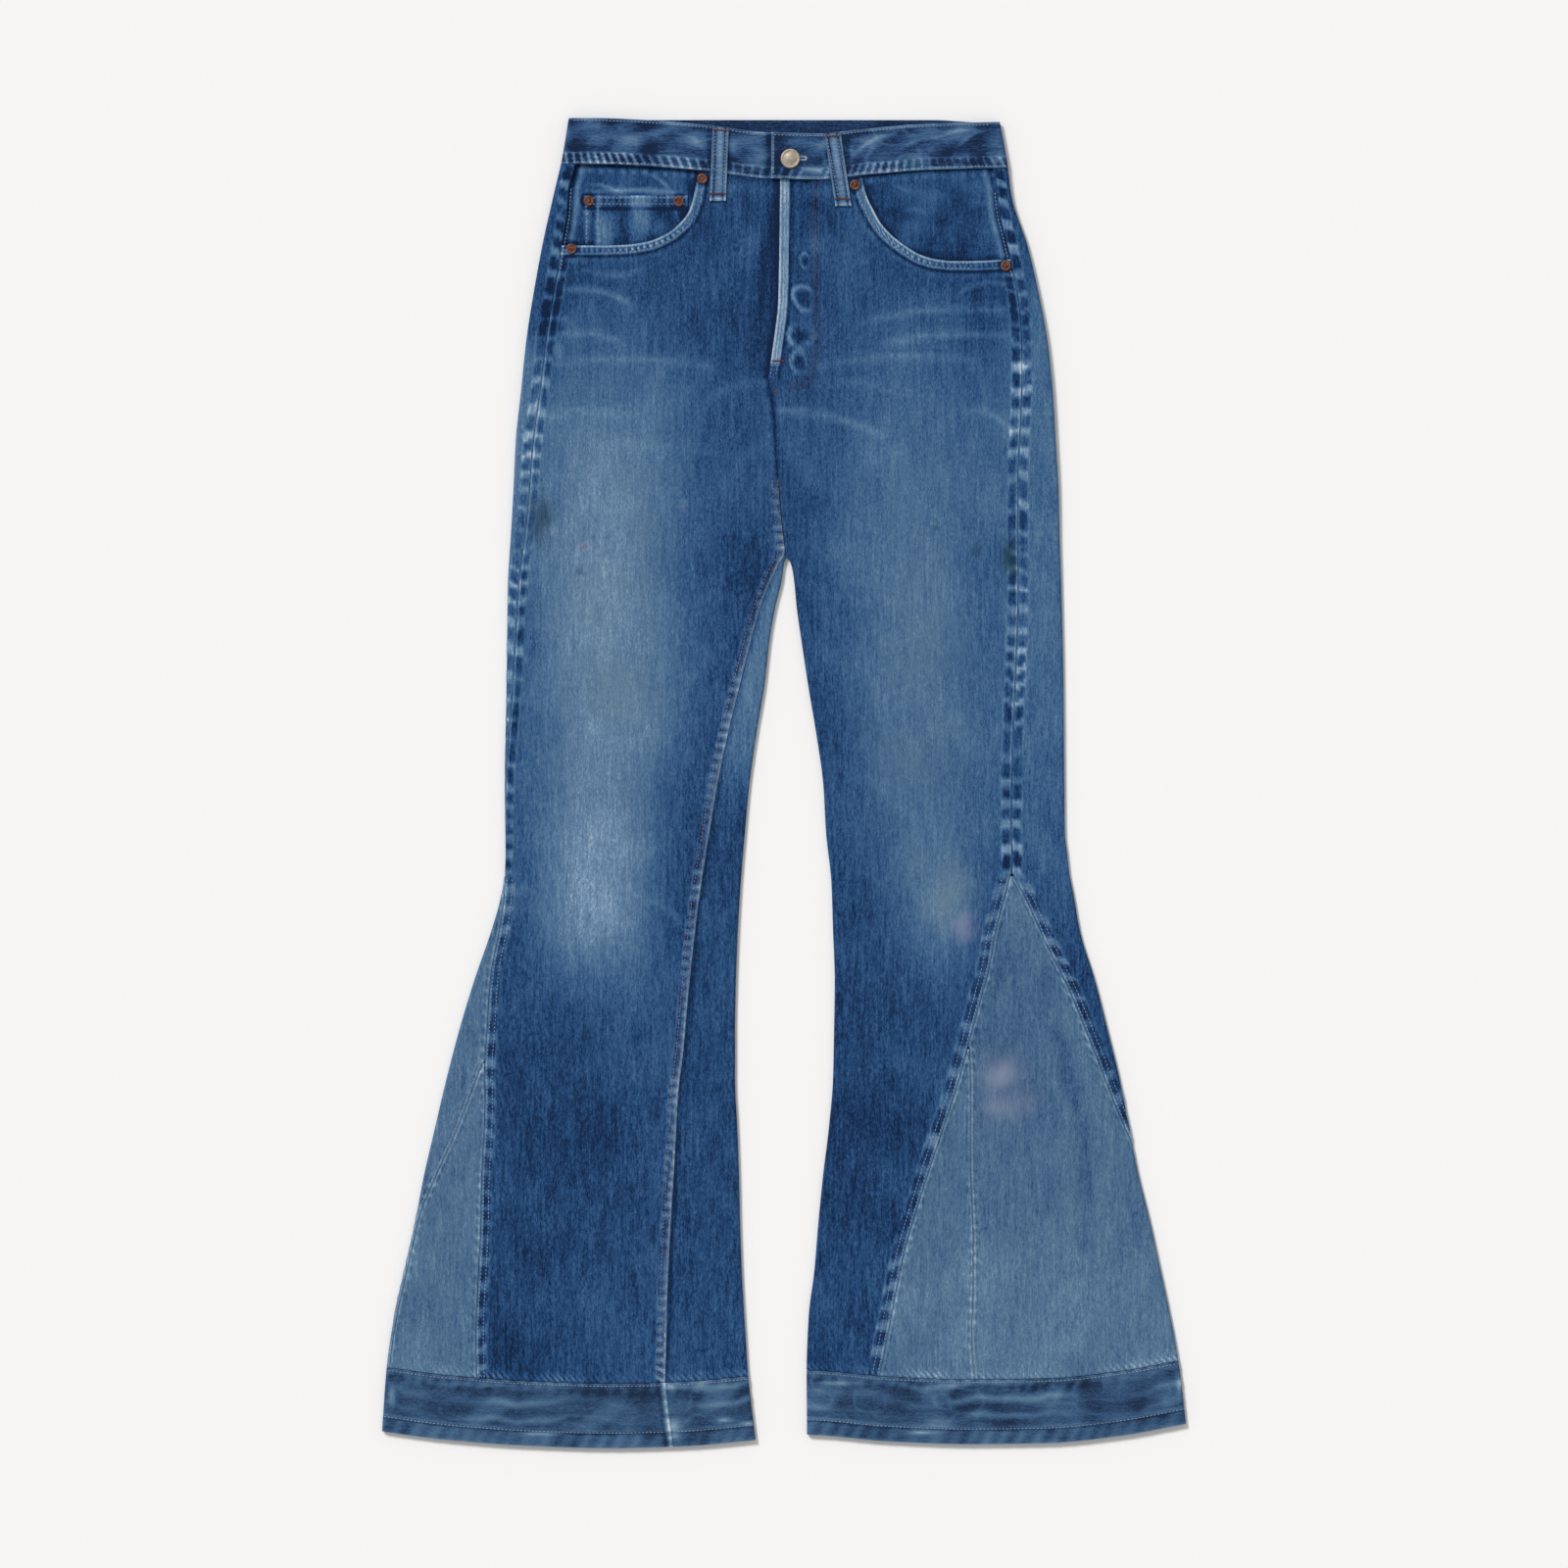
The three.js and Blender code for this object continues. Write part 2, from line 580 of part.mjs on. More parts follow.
// Front panels: the pocket mouth is cut out, and its edge and the fly's edge are doubled
function frontPanel(leg, mouth) {
  const turn = leg.sign;
  const cloth = panel(leg, {
    rows: [...LEG_ROWS, ...flareRows(leg)],
    low: frontLow(leg),
    high: frontHigh(leg),
    columns: 11,
    rise: turn < 0 ? { low: always, high: belowCrotch } : { low: always },
  });
  const curve = mouth.slice(0, -1);
  let solid = toManifold(cloth).subtract(toManifold(mouthCut(mouth, turn)));
  solid = solid.add(toManifold(lip(curve, turn * LIP_WIDTH, turn * LIP_INSET)));
  if (turn > 0) solid = solid.add(toManifold(lip(FLY_LINE, -LIP_WIDTH, -FLY_INSET)));
  return fromManifold(solid);
}

place('front_panel_right', frontPanel(LEGS.right, RIGHT_MOUTH), INDIGO);
place('front_panel_left', frontPanel(LEGS.left, LEFT_MOUTH), INDIGO);

for (const [side, leg] of Object.entries(LEGS)) {
  const flare = flareRows(leg);
  const belowSplit = flare.filter((y) => y <= leg.splitTop);
  const back = { low: backLow(leg), high: backHigh(leg), columns: 11, rise: { high: always } };
  place(`back_panel_${side}`, panel(leg, { ...back, rows: [...LEG_ROWS, ...flare], level: backLevel }), INDIGO);
  place(`yoke_${side}`, panel(leg, { ...back, rows: [1, 0.5, 0], level: yokeLevel }), INDIGO);
  place(`gusset_outer_${side}`, panel(leg, {
    rows: flare,
    low: (y) => leg.gussetBack(y) + SEAM,
    high: (y) => (y > leg.splitTop + 1 ? leg.gussetFront(y) : leg.split(y)) - SEAM,
    columns: 9,
  }), GUSSET_BLUE);
  place(`gusset_inner_${side}`, panel(leg, {
    rows: belowSplit,
    low: (y) => leg.split(y) + SEAM,
    high: (y) => leg.gussetFront(y) - SEAM,
    columns: 4,
  }), GUSSET_BLUE);
  const join = (cut) => cut.length / 2 - leg.hemJoin;
  place(`hem_band_${side}`, panel(leg, {
    rows: [HEM_SEAM + SEAM - HEM_GAP, (HEM_SEAM + HEM_EDGE) / 2, HEM_EDGE],
    low: (y, cut) => join(cut) - cut.length + SEAM,
    high: (y, cut) => join(cut) - SEAM,
    columns: 44,
    heights: HEM_BAND,
    cloth: HEM_CLOTH,
  }), HEM_BLUE);
}

// Waistband: one strip from its lower end round the back to its upper end, seen in section at a level
const WAIST_RADIUS = (WAIST_FRONT - HIP_BACK) / 2;

function waistSection(y) {
  const right = through(RIGHT_OUTLINE.y, RIGHT_OUTLINE.outer, y) - WAIST_RADIUS;
  const left = through(LEFT_OUTLINE.y, LEFT_OUTLINE.outer, y) - WAIST_RADIUS;
  const middle = HIP_BACK + WAIST_RADIUS;
  const run = (from, to, count, z, nz) => (
    evenly(0, 1, 1 / count).map((t) => ({ x: from + (to - from) * t, z, nx: 0, nz }))
  );
  const roll = (centre, from) => [1, 2, 3, 4, 5].map((k) => {
    const turn = from - (Math.PI * k) / 6;
    const nx = Math.cos(turn);
    const nz = Math.sin(turn);
    return { x: centre + WAIST_RADIUS * nx, z: middle + WAIST_RADIUS * nz, nx, nz };
  });
  return [
    ...run(UNDER_END, -right, 8, WAIST_FRONT, 1),
    ...roll(-right, -Math.PI / 2).reverse().map((p) => ({ ...p, nx: -Math.abs(p.nx) })),
    ...run(-right, left, 14, HIP_BACK, -1),
    ...roll(left, Math.PI / 2).reverse(),
    ...run(left, TAB_DOWN, 6, WAIST_FRONT, 1),
    ...run(TAB_FLAT, TAB_END, 3, TAB_FRONT, 1),
  ];
}

const BUTTON = { x: 5.5, y: 541.5 };

function waistband() {
  const rows = [WAIST_TOP, (WAIST_TOP + WAIST_SEAM) / 2, WAIST_SEAM + SEAM];
  const grids = [0, WAIST_CLOTH].map((depth) => rows.map((y) => waistSection(y).map((p) => [
    p.x - p.nx * depth, curvedY(p.x, y, (1 + p.nz) / 2), p.z - p.nz * depth,
  ])));
  const hole = new THREE.CylinderGeometry(SHANK_HOLE, SHANK_HOLE, 4, 16);
  hole.rotateX(Math.PI / 2);
  hole.translate(BUTTON.x, BUTTON.y, WAIST_FRONT + GAP / 2 + 2);
  return fromManifold(toManifold(shell(grids[0], grids[1])).subtract(toManifold(hole)));
}

place('waistband', waistband(), INDIGO);

// Pocket layers under the fronts, from the top down
const LAYER_TOP = HIP_FRONT - CLOTH - GAP;
const LAYER_NEXT = LAYER_TOP - CLOTH - GAP;
const FACING_TUCK = 6; // the facing runs this far past the side seam
const FACING_REACH = 22; // and this far under the front panel
const SEAM_UNDER = 2 * SEAM + GAP / 2; // hidden layers end this far below the waist seam
const COIN_POCKET = { left: -174, right: -83.5, top: 510, bottom: 454 };

function seamLine(from, to) {
  return evenly(from, to, 15).map((x) => [x, waistSeamAt(x) - SEAM_UNDER]);
}

function pocketFacing(leg, mouth, top) {
  const side = leg.sign;
  const curve = beside(mouth.slice(0, -1), side * FACING_REACH);
  const outseam = (y) => side * (leg.outer(y) - leg.outseam(y) + FACING_TUCK);
  const first = [curve[0][0], waistSeamAt(curve[0][0]) - SEAM_UNDER];
  const last = curve.at(-1);
  const low = [outseam(last[1]), last[1]];
  const high = seamLine(outseam(WAIST_SEAM), first[0]);
  return plate([...high, ...curve.slice(1), low], top - CLOTH, top);
}

place('pocket_facing_right', pocketFacing(LEGS.right, RIGHT_MOUTH, LAYER_NEXT), FACING_BLUE);
place('pocket_facing_left', pocketFacing(LEGS.left, LEFT_MOUTH, LAYER_TOP), FACING_BLUE);
place('coin_pocket', plate([
  [COIN_POCKET.left, COIN_POCKET.top],
  [COIN_POCKET.right, COIN_POCKET.top],
  [COIN_POCKET.right, COIN_POCKET.bottom],
  [COIN_POCKET.left, COIN_POCKET.bottom],
], LAYER_TOP - CLOTH, LAYER_TOP), INDIGO);
// Under the left front's edge and the fly's buttons, down to just below the fly's end
const SHIELD = { right: -16, left: 22, bottom: FLY_END - 4 };
place('fly_shield', plate([
  ...seamLine(SHIELD.right, SHIELD.left), [SHIELD.left, 380], [4, SHIELD.bottom], [-24, SHIELD.bottom],
  [-18, 420],
], LAYER_TOP - CLOTH, LAYER_TOP), INDIGO);

// Back pockets lie between the floor and the back panels
const BACK_POCKET = [[38, 458], [172, 452], [166, 315], [106, 292], [46, 315]];
for (const [side, leg] of Object.entries(LEGS)) {
  place(`back_pocket_${side}`, plate(BACK_POCKET.map(([x, y]) => [leg.sign * x, y]), 0, CLOTH), INDIGO);
}

// Belt loops: the front ones lie over the waistband and step down to the panel below it
const LOOP_INSET = 0.5; // a loop starts this far below the waistband's top
const STEP_FROM = 0.8; // the step down starts above the waist seam
const STEP_TO = -1.6; // and ends below it

function frontLoop(topX, bottomX, bottom) {
  const edges = [-LOOP_WIDTH / 2, LOOP_WIDTH / 2];
  const over = WAIST_FRONT + GAP;
  const below = HIP_FRONT + GAP;
  const rowPoints = edges.map((edge) => {
    const seam = waistSeamAt(topX + edge);
    const crown = curvedY(topX + edge, WAIST_TOP, 1) - LOOP_INSET;
    const levels = [[crown, over], [seam + STEP_FROM, over], [seam + STEP_TO, below], [bottom, below]];
    return levels.map(([y, z]) => [topX + edge + ((bottomX - topX) * (crown - y)) / (crown - bottom), y, z]);
  });
  const inner = [0, 1, 2, 3].map((r) => rowPoints.map((column) => column[r]));
  const outer = inner.map((row) => row.map(([x, y, z]) => [x, y, z + LOOP_CLOTH]));
  return shell(outer, inner);
}

place('belt_loop_front_right', frontLoop(-54.8, -57.4, 505), INDIGO);
place('belt_loop_front_left', frontLoop(42, 51.4, 500.6), INDIGO);
const BACK_LOOPS = { right: -118, centre: 0, left: 118 };
const BACK_LOOP_BOTTOM = 512;
for (const [side, x] of Object.entries(BACK_LOOPS)) {
  const half = LOOP_WIDTH / 2;
  const top = WAIST_TOP - LOOP_INSET;
  const bottom = BACK_LOOP_BOTTOM;
  place(`belt_loop_back_${side}`, plate([
    [x - half, top], [x + half, top], [x + half, bottom], [x - half, bottom],
  ], 0, CLOTH), INDIGO);
}

// Round metal trim: a profile of [radius, height] turned about its own upright axis
function turned(profile, x, y, base, sides) {
  const geometry = new THREE.LatheGeometry(profile.map(([r, z]) => new THREE.Vector2(r, z)), sides);
  geometry.rotateX(Math.PI / 2);
  geometry.translate(x, y, base);
  return fromManifold(toManifold(geometry));
}

const RIVET_PROFILE = [
  [0, 0], [RIVET_RADIUS, 0], [RIVET_RADIUS, 0.5], [RIVET_RADIUS * 0.8, 1], [RIVET_RADIUS * 0.42, 0.9],
  [RIVET_RADIUS * 0.3, RIVET_HEIGHT], [0, RIVET_HEIGHT],
];
const ON_PANEL = HIP_FRONT + LIP_RISE + GAP;
const ON_COIN = LAYER_TOP + GAP;
const RIVETS = {
  mouth_inner_right: { x: -70.8, y: 524.4, base: ON_PANEL },
  mouth_outer_right: { x: -183.9, y: 463.8, base: ON_PANEL },
  coin_outer: { x: -169.2, y: 505.4, base: ON_COIN },
  coin_inner: { x: -91.2, y: 504.9, base: ON_COIN },
  mouth_inner_left: { x: 61.6, y: 519, base: ON_PANEL },
  mouth_outer_left: { x: 192.1, y: 448.8, base: ON_PANEL },
};
for (const [name, rivet] of Object.entries(RIVETS)) {
  place(`rivet_${name}`, turned(RIVET_PROFILE, rivet.x, rivet.y, rivet.base, 16), COPPER, 1, 0.45);
}

const HEAD = TAB_FRONT - WAIST_FRONT; // from the foot of the shank to the underside of the head
place('waist_button', turned([
  [0, 0], [SHANK_RADIUS, 0], [SHANK_RADIUS, HEAD], [BUTTON_RADIUS, HEAD],
  [BUTTON_RADIUS, HEAD + 0.9], [BUTTON_RADIUS * 0.9, HEAD + 1.6], [BUTTON_RADIUS * 0.76, HEAD + 1.2],
  [BUTTON_RADIUS * 0.5, HEAD + 1.9], [BUTTON_RADIUS * 0.2, HEAD + BUTTON_HEIGHT], [0, HEAD + BUTTON_HEIGHT],
], BUTTON.x, BUTTON.y, WAIST_FRONT + GAP, 24), PALE_BRASS, 1, 0.35);

export default group;
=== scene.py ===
# Flared jeans laid flat on their back, seen from straight above.
# Sizes are millimetres in the tables and metres in the meshes; x runs to the wearer's left, y to the
# waist and z up. Right and left are the wearer's.
import math
from functools import partial

import bpy
import numpy as np
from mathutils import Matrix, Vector
from mathutils.bvhtree import BVHTree


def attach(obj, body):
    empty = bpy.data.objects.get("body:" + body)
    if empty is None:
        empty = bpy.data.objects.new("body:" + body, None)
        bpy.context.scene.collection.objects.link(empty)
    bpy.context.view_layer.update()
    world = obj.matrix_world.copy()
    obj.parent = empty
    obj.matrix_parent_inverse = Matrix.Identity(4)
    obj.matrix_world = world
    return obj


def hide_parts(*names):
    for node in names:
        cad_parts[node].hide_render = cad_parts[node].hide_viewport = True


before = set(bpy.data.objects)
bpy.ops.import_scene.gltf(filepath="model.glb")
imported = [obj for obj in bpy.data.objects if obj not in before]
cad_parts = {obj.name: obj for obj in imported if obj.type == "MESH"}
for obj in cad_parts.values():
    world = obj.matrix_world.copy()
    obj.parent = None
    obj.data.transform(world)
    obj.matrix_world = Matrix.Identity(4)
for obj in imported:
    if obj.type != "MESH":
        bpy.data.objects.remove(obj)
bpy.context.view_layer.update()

MM = 0.001

# Levels along the garment and heights above the floor
WAIST_TOP = 575.5
WAIST_SEAM = 535.5
FLY_END = 352.0
CROTCH = 272.0
CROTCH_JOIN = CROTCH - 5.0
GUSSET_TOP = -80.0
HEM_SEAM = -513.5
HEM_EDGE = -569.5
LEG_FRONT = 5.2
HIP_BACK = 1.5
HIP_FRONT = 7.2
WAIST_FRONT = 8.0
CLOTH = 1.2
WAIST_CLOTH = 2.2
HEM_CLOTH = 1.6
GAP = 0.3
SEAM = 0.15
HEM_FRONT = 5.8
TAB_FRONT = WAIST_FRONT + GAP + WAIST_CLOTH
TAB_END, TAB_FLAT, TAB_DOWN, UNDER_END = -11.0, 17.0, 32.0, 15.0
LAYER_TOP = HIP_FRONT - CLOTH - GAP
LAYER_NEXT = LAYER_TOP - CLOTH - GAP
HEM_GAP = 0.5
YOKE_SIDE, YOKE_CENTRE, YOKE_KEEP = 524.5, 474.0, 400.0
PANEL_TOP = WAIST_SEAM - SEAM
PAST_CENTRE = 60.0

# Spacing of the rows and columns of the meshes, and of places along a line of stitches
FLARE_STEP, CLOSE_ROWS, CLOSE_STEP = 3.4, 15.0, 1.3
UNDER_SPACING, ROLL_DENSITY, PROBES = 9.0, 1.1, 500
LINE_STEP, DROP_STEP, TACK_PITCH = 2.0, 1.5, 0.62

# Outlines of the legs, out from x = 0 on each leg's own side
RIGHT_OUTLINE = dict(
    y=[576, 540, 510, 468, 425, 383, 340, 298, 255, 213, 170, 85, 0, -60, -78, -94, -128, -170,
       -213, -255, -298, -340, -383, -425, -468, -514, -570],
    at=[186.5, 192.5, 199.5, 209, 217, 223.5, 228, 232.5, 234.5, 237, 239.5, 240.5, 242, 241.5, 242,
        244.5, 254, 268.5, 281.5, 292.5, 302.5, 312, 320, 329, 338, 344.5, 348.5])
INNER_LEVELS = [272, 238, 214, 197, 191, 178, 153, 128, 85, 43, 0, -43, -85, -128, -170, -213, -255, -298,
                -340, -383, -425, -468, -514, -570]
RIGHT_INNER = dict(
    y=INNER_LEVELS,
    at=[5.5, 3.3, 0.6, -1.9, 0, 1.7, 7.6, 12, 17, 24, 30, 34, 37.5, 40, 41.6, 42.5, 42.5, 40.5, 39,
        38, 36.5, 34, 31, 24.6])
LEFT_OUTLINE = dict(
    y=[576, 540, 510, 468, 425, 383, 340, 298, 255, 213, 170, 85, 0, -43, -60, -78, -94, -128, -170,
       -213, -255, -298, -340, -383, -425, -468, -514, -570],
    at=[187, 193.5, 197.5, 211, 221, 228.6, 233, 235.5, 238, 239, 240.5, 242.3, 243, 243.5, 245.5,
        247.5, 250.7, 256.7, 269.5, 280.5, 290.7, 299, 307, 317, 325.5, 334, 342, 348.5])
LEFT_INNER = dict(
    y=INNER_LEVELS,
    at=[-5.2, -3, -0.3, 2.2, 6, 8.5, 11, 14.5, 21, 28, 34, 36.5, 41, 42.5, 44, 43.4, 42.5, 39, 34,
        29.8, 26.4, 21.3, 19.6, 20])

# Seams, as distances over the cloth from the leg's outer edge, positive on the front
RIGHT_OUTSEAM = dict(y=[536, 518, 488, 467, 443, 340, 272, 226, 181, 135, 78, 0, -60, -78],
                     at=[14, 13.5, 17.7, 18.6, 19.4, 18.4, 16, 14.3, 11.4, 9.2, 6.6, 2, 0.5, 0])
LEFT_OUTSEAM = dict(y=[536, 517, 483, 458, 426, 366, 298, 272, 158, 101, 21, -47, -78],
                    at=[15, 13.5, 18, 19.5, 20.3, 26.2, 33, 36, 39.4, 42.8, 46.6, 48.3, 51.7])
# Seams, as distances from the inner edge
RIGHT_INSEAM = dict(y=[272, 214, 170, 127, 83, 10, -70, -161, -222, -279, -347, -406, -514],
                    at=[0, 0, 11.5, 16.8, 22.7, 28, 34, 40.6, 45, 52, 58.5, 63.5, 73])
LEFT_INSEAM = dict(y=[272, 170, 85, 0, -78, -255, -514], at=[0, -8, -20, -32, -42, -68, -109])
# Gussets and the seams between their two pieces, as distances from the outer edge
RIGHT_FLARE_LEVELS = [-80, -117, -153, -210, -242, -279, -370, -514]
RIGHT_GUSSET_FRONT = dict(y=RIGHT_FLARE_LEVELS, at=[1.5, 7, 12, 25, 31.5, 40.5, 56.5, 80])
RIGHT_GUSSET_BACK = dict(y=RIGHT_FLARE_LEVELS, at=[-1.5, -20, -40, -68, -84, -101, -149, -228])
RIGHT_SPLIT = dict(y=[-242, -297, -343, -383, -514], at=[29.5, 21.5, 11.5, 4, 4])
LEFT_FLARE_LEVELS = [-80, -125, -146, -184, -228, -270, -318, -340, -394, -425, -514]
LEFT_GUSSET_FRONT = dict(y=LEFT_FLARE_LEVELS,
                         at=[53.5, 73.5, 83, 103.5, 126.5, 147.7, 173, 184.5, 213.5, 227, 261])
LEFT_GUSSET_BACK = dict(y=LEFT_FLARE_LEVELS, at=[50, 36.5, 32.5, 25.3, 18.5, 11.7, 0.5, -6, -17, -24, -42])
LEFT_SPLIT = dict(y=[-230, -290, -361, -425, -500, -514], at=[125.5, 137.5, 150.5, 163, 177.5, 178])
FRONT_CENTRE = dict(y=[536, 428, 372, 352, 322, 283, 262], at=[-3.4, -5, -11, -13.6, -9, -6.8, -5.35])
BACK_CENTRE = dict(y=[536, 262], at=[0, -5.35])
WAIST_DIP = dict(y=[-192, -165, -125, -63, -15, 30, 70, 128, 194],
                 at=[1.5, 1.5, 0, -5, -11, -12, -8, -3.5, -1.7])
HEM_CURVE = dict(y=[-348, -290, -220, -150, -90, -25, 20, 90, 160, 230, 290, 348],
                 at=[8.5, 1, -4, -6, -4.5, 1, 5.5, 0, -2.5, -1.5, 4.5, 15])
HEM_REACH, WAIST_REACH = 300.0, 230.0

# Free edges of the front panels at the pocket mouths, from the waist seam to the side seam
RIGHT_MOUTH = np.array([
    (-76.5, 520), (-78.5, 508), (-82, 497), (-90, 486), (-103, 476), (-120, 469.5), (-140, 467),
    (-158, 466.5), (-192, 466.5)], float)
LEFT_MOUTH = np.array([
    (69.3, 517), (72, 508), (76.5, 499), (83, 487), (92, 476.5), (104, 467), (118, 458.5),
    (132, 454.5), (148, 453), (162, 453), (200, 455)], float)

# Soft ridges and troughs over the legs' fronts: place, direction in degrees, half sizes and height
FOLDS = [
    # x, y, turn, long, wide, high
    (-150, 60, 80, 170, 30, 0.7), (-215, 190, 100, 110, 16, -0.5), (-110, -120, 60, 90, 24, -0.5),
    (-190, -300, 94, 150, 26, 0.8), (-270, -350, 110, 120, 18, -0.7), (-90, -390, 86, 110, 20, 0.6),
    (120, 40, 100, 180, 32, 0.7), (75, -260, 92, 160, 20, 0.6), (150, -350, 82, 130, 24, -0.6),
    (250, -300, 68, 130, 20, 1.0), (215, -420, 84, 90, 18, -0.6), (60, 190, 115, 80, 22, -0.5),
]


def through(table, at):
    """Smooth curve through a table's points, with no overshoot."""
    keys = np.array(table["y"], float)
    values = np.array(table["at"], float)
    if keys[0] > keys[-1]:
        keys, values = keys[::-1], values[::-1]
    at = np.clip(np.asarray(at, float), keys[0], keys[-1])
    slope = np.diff(values) / np.diff(keys)
    tangent = np.empty_like(values)
    tangent[0], tangent[-1] = slope[0], slope[-1]
    product = slope[:-1] * slope[1:]
    total = slope[:-1] + slope[1:]
    safe = np.where(np.abs(total) < 1e-9, 1, total)
    tangent[1:-1] = np.where(product > 0, 2 * product / safe, 0)
    i = np.clip(np.searchsorted(keys, at, side="left") - 1, 0, len(keys) - 2)
    span = keys[i + 1] - keys[i]
    t = (at - keys[i]) / span
    eased = t * t * (3 - 2 * t)
    lead = t * (1 - t) ** 2 * span * tangent[i]
    trail = t * t * (1 - t) * span * tangent[i + 1]
    return values[i] * (1 - eased) + values[i + 1] * eased + lead - trail


def ease(start, end, at):
    t = np.clip((np.asarray(at, float) - start) / (end - start), 0, 1)
    return t * t * (3 - 2 * t)


def hill(at, middle, half):
    """1 at the middle, falling smoothly past the half width."""
    return np.exp(-((np.asarray(at, float) - middle) / half) ** 2)


def blob(x, y, spot):
    """Soft oval spot: x, y, half width, half height, turn in degrees."""
    cx, cy, wide, high, turn = spot
    a = math.radians(turn)
    u = (x - cx) * math.cos(a) + (y - cy) * math.sin(a)
    v = -(x - cx) * math.sin(a) + (y - cy) * math.cos(a)
    return np.exp(-((u / wide) ** 2) - (v / high) ** 2)


def front_height(y):
    return LEG_FRONT + (HIP_FRONT - LEG_FRONT) * ease(170, 330, y)


def back_height(y):
    return HIP_BACK * ease(150, 250, y)


def fold_height(x, y):
    high = 0
    for fx, fy, turn, long, wide, tall in FOLDS:
        high = high + tall * blob(x, y, (fx, fy, long, wide, turn))
    return high * ease(330, 240, y) * ease(-500, -440, y)


def curved_y(x, y, front):
    share = np.maximum(front, ease(130, 178, np.abs(x)))
    waist = through(WAIST_DIP, x) * share * ease(WAIST_SEAM - WAIST_REACH, WAIST_SEAM, y)
    return y + waist + through(HEM_CURVE, x) * ease(HEM_SEAM + HEM_REACH, HEM_SEAM, y)


class Leg:
    """A leg: its side of the garment, and curves for its edges and seams."""

    def __init__(self, name, sign, join, mouth, inner, **tables):
        self.name, self.sign, self.join, self.mouth = name, sign, join, mouth
        self.split_top = tables["split"]["y"][0]
        self.inner = lambda y: np.where(y > CROTCH_JOIN, -PAST_CENTRE, through(inner, y))
        for curve, table in tables.items():
            setattr(self, curve, partial(through, table))


RIGHT = Leg("right", -1, 73.0, RIGHT_MOUTH, RIGHT_INNER, outer=RIGHT_OUTLINE, outseam=RIGHT_OUTSEAM,
            inseam=RIGHT_INSEAM, gusset_front=RIGHT_GUSSET_FRONT, gusset_back=RIGHT_GUSSET_BACK,
            split=RIGHT_SPLIT)
LEFT = Leg("left", 1, -109.0, LEFT_MOUTH, LEFT_INNER, outer=LEFT_OUTLINE, outseam=LEFT_OUTSEAM,
           inseam=LEFT_INSEAM, gusset_front=LEFT_GUSSET_FRONT, gusset_back=LEFT_GUSSET_BACK,
           split=LEFT_SPLIT)


class Section:
    """The flattened tube of a leg at the given levels."""

    def __init__(self, leg, y, hem=False):
        self.y = np.asarray(y, float)
        self.top = np.full_like(self.y, HEM_FRONT) if hem else front_height(self.y)
        self.base = np.zeros_like(self.y) if hem else back_height(self.y)
        self.radius = (self.top - self.base) / 2
        self.quarter = math.pi / 2 * self.radius
        self.outer = leg.outer(self.y)
        self.inner = leg.inner(self.y)
        self.flat = self.outer - self.inner - 2 * self.radius
        self.length = 2 * self.flat + 4 * self.quarter


def wrapped(s, cut):
    """Distances over the cloth brought to within half a turn of the outer edge."""
    s = np.where(s > cut.length / 2, s - cut.length, s)
    return np.where(s < -cut.length / 2, s + cut.length, s)


def on_tube(leg, cut, s):
    """Points of the outer face and their outward directions, at distances over the cloth."""
    s = wrapped(s, cut)
    face = np.where(s < 0, -1.0, 1.0)
    d = np.abs(s)
    outer_turn = s / cut.radius
    inner_turn = (d - cut.quarter - cut.flat) / cut.radius
    at_outer = d < cut.quarter
    at_inner = d > cut.quarter + cut.flat
    towards = np.where(at_outer, np.cos(outer_turn), np.where(at_inner, -np.sin(inner_turn), 0))
    up = np.where(at_outer, np.sin(outer_turn), np.where(at_inner, face * np.cos(inner_turn), face))
    run = d - cut.quarter
    out = np.where(at_outer, cut.outer - cut.radius + cut.radius * towards,
                   np.where(at_inner, cut.inner + cut.radius + cut.radius * towards,
                            cut.outer - cut.radius - run))
    x = leg.sign * out
    z = (cut.top + cut.base) / 2 + cut.radius * up
    fade = ease(0, 18, run) * ease(0, 18, cut.flat - run) * (face > 0)
    z = z + fold_height(x, cut.y) * fade
    y = curved_y(x, cut.y, (1 + up) / 2)
    return x, y, z, leg.sign * towards, up


# Side edges of each kind of sheet, as distances over the cloth to the middle of the seam
def centre(leg, y, cut, table):
    return cut.quarter + cut.outer - cut.radius - leg.sign * through(table, y)


def front_low(leg, y, cut):
    return np.where(y > GUSSET_TOP + 1, leg.outseam(y), leg.gusset_front(y))


def front_high(leg, y, cut):
    return np.where(y > CROTCH_JOIN, centre(leg, y, cut, FRONT_CENTRE), cut.length / 2 - leg.inseam(y))


def back_low(leg, y, cut):
    return np.where(y > CROTCH_JOIN, -centre(leg, y, cut, BACK_CENTRE), -cut.length / 2 - leg.inseam(y))


def back_high(leg, y, cut):
    return np.where(y > GUSSET_TOP + 1, leg.outseam(y), leg.gusset_back(y))


def gusset_high(leg, y, cut):
    return np.where(y > leg.split_top + 1, leg.gusset_front(y), leg.split(y))


def hem_high(leg, y, cut):
    return cut.length / 2 - leg.join


EDGES = {
    "front": (front_low, front_high),
    "back": (back_low, back_high),
    "outer_gusset": (lambda leg, y, cut: leg.gusset_back(y), gusset_high),
    "inner_gusset": (lambda leg, y, cut: leg.split(y), lambda leg, y, cut: leg.gusset_front(y)),
    "hem": (lambda leg, y, cut: hem_high(leg, y, cut) - cut.length, hem_high),
}


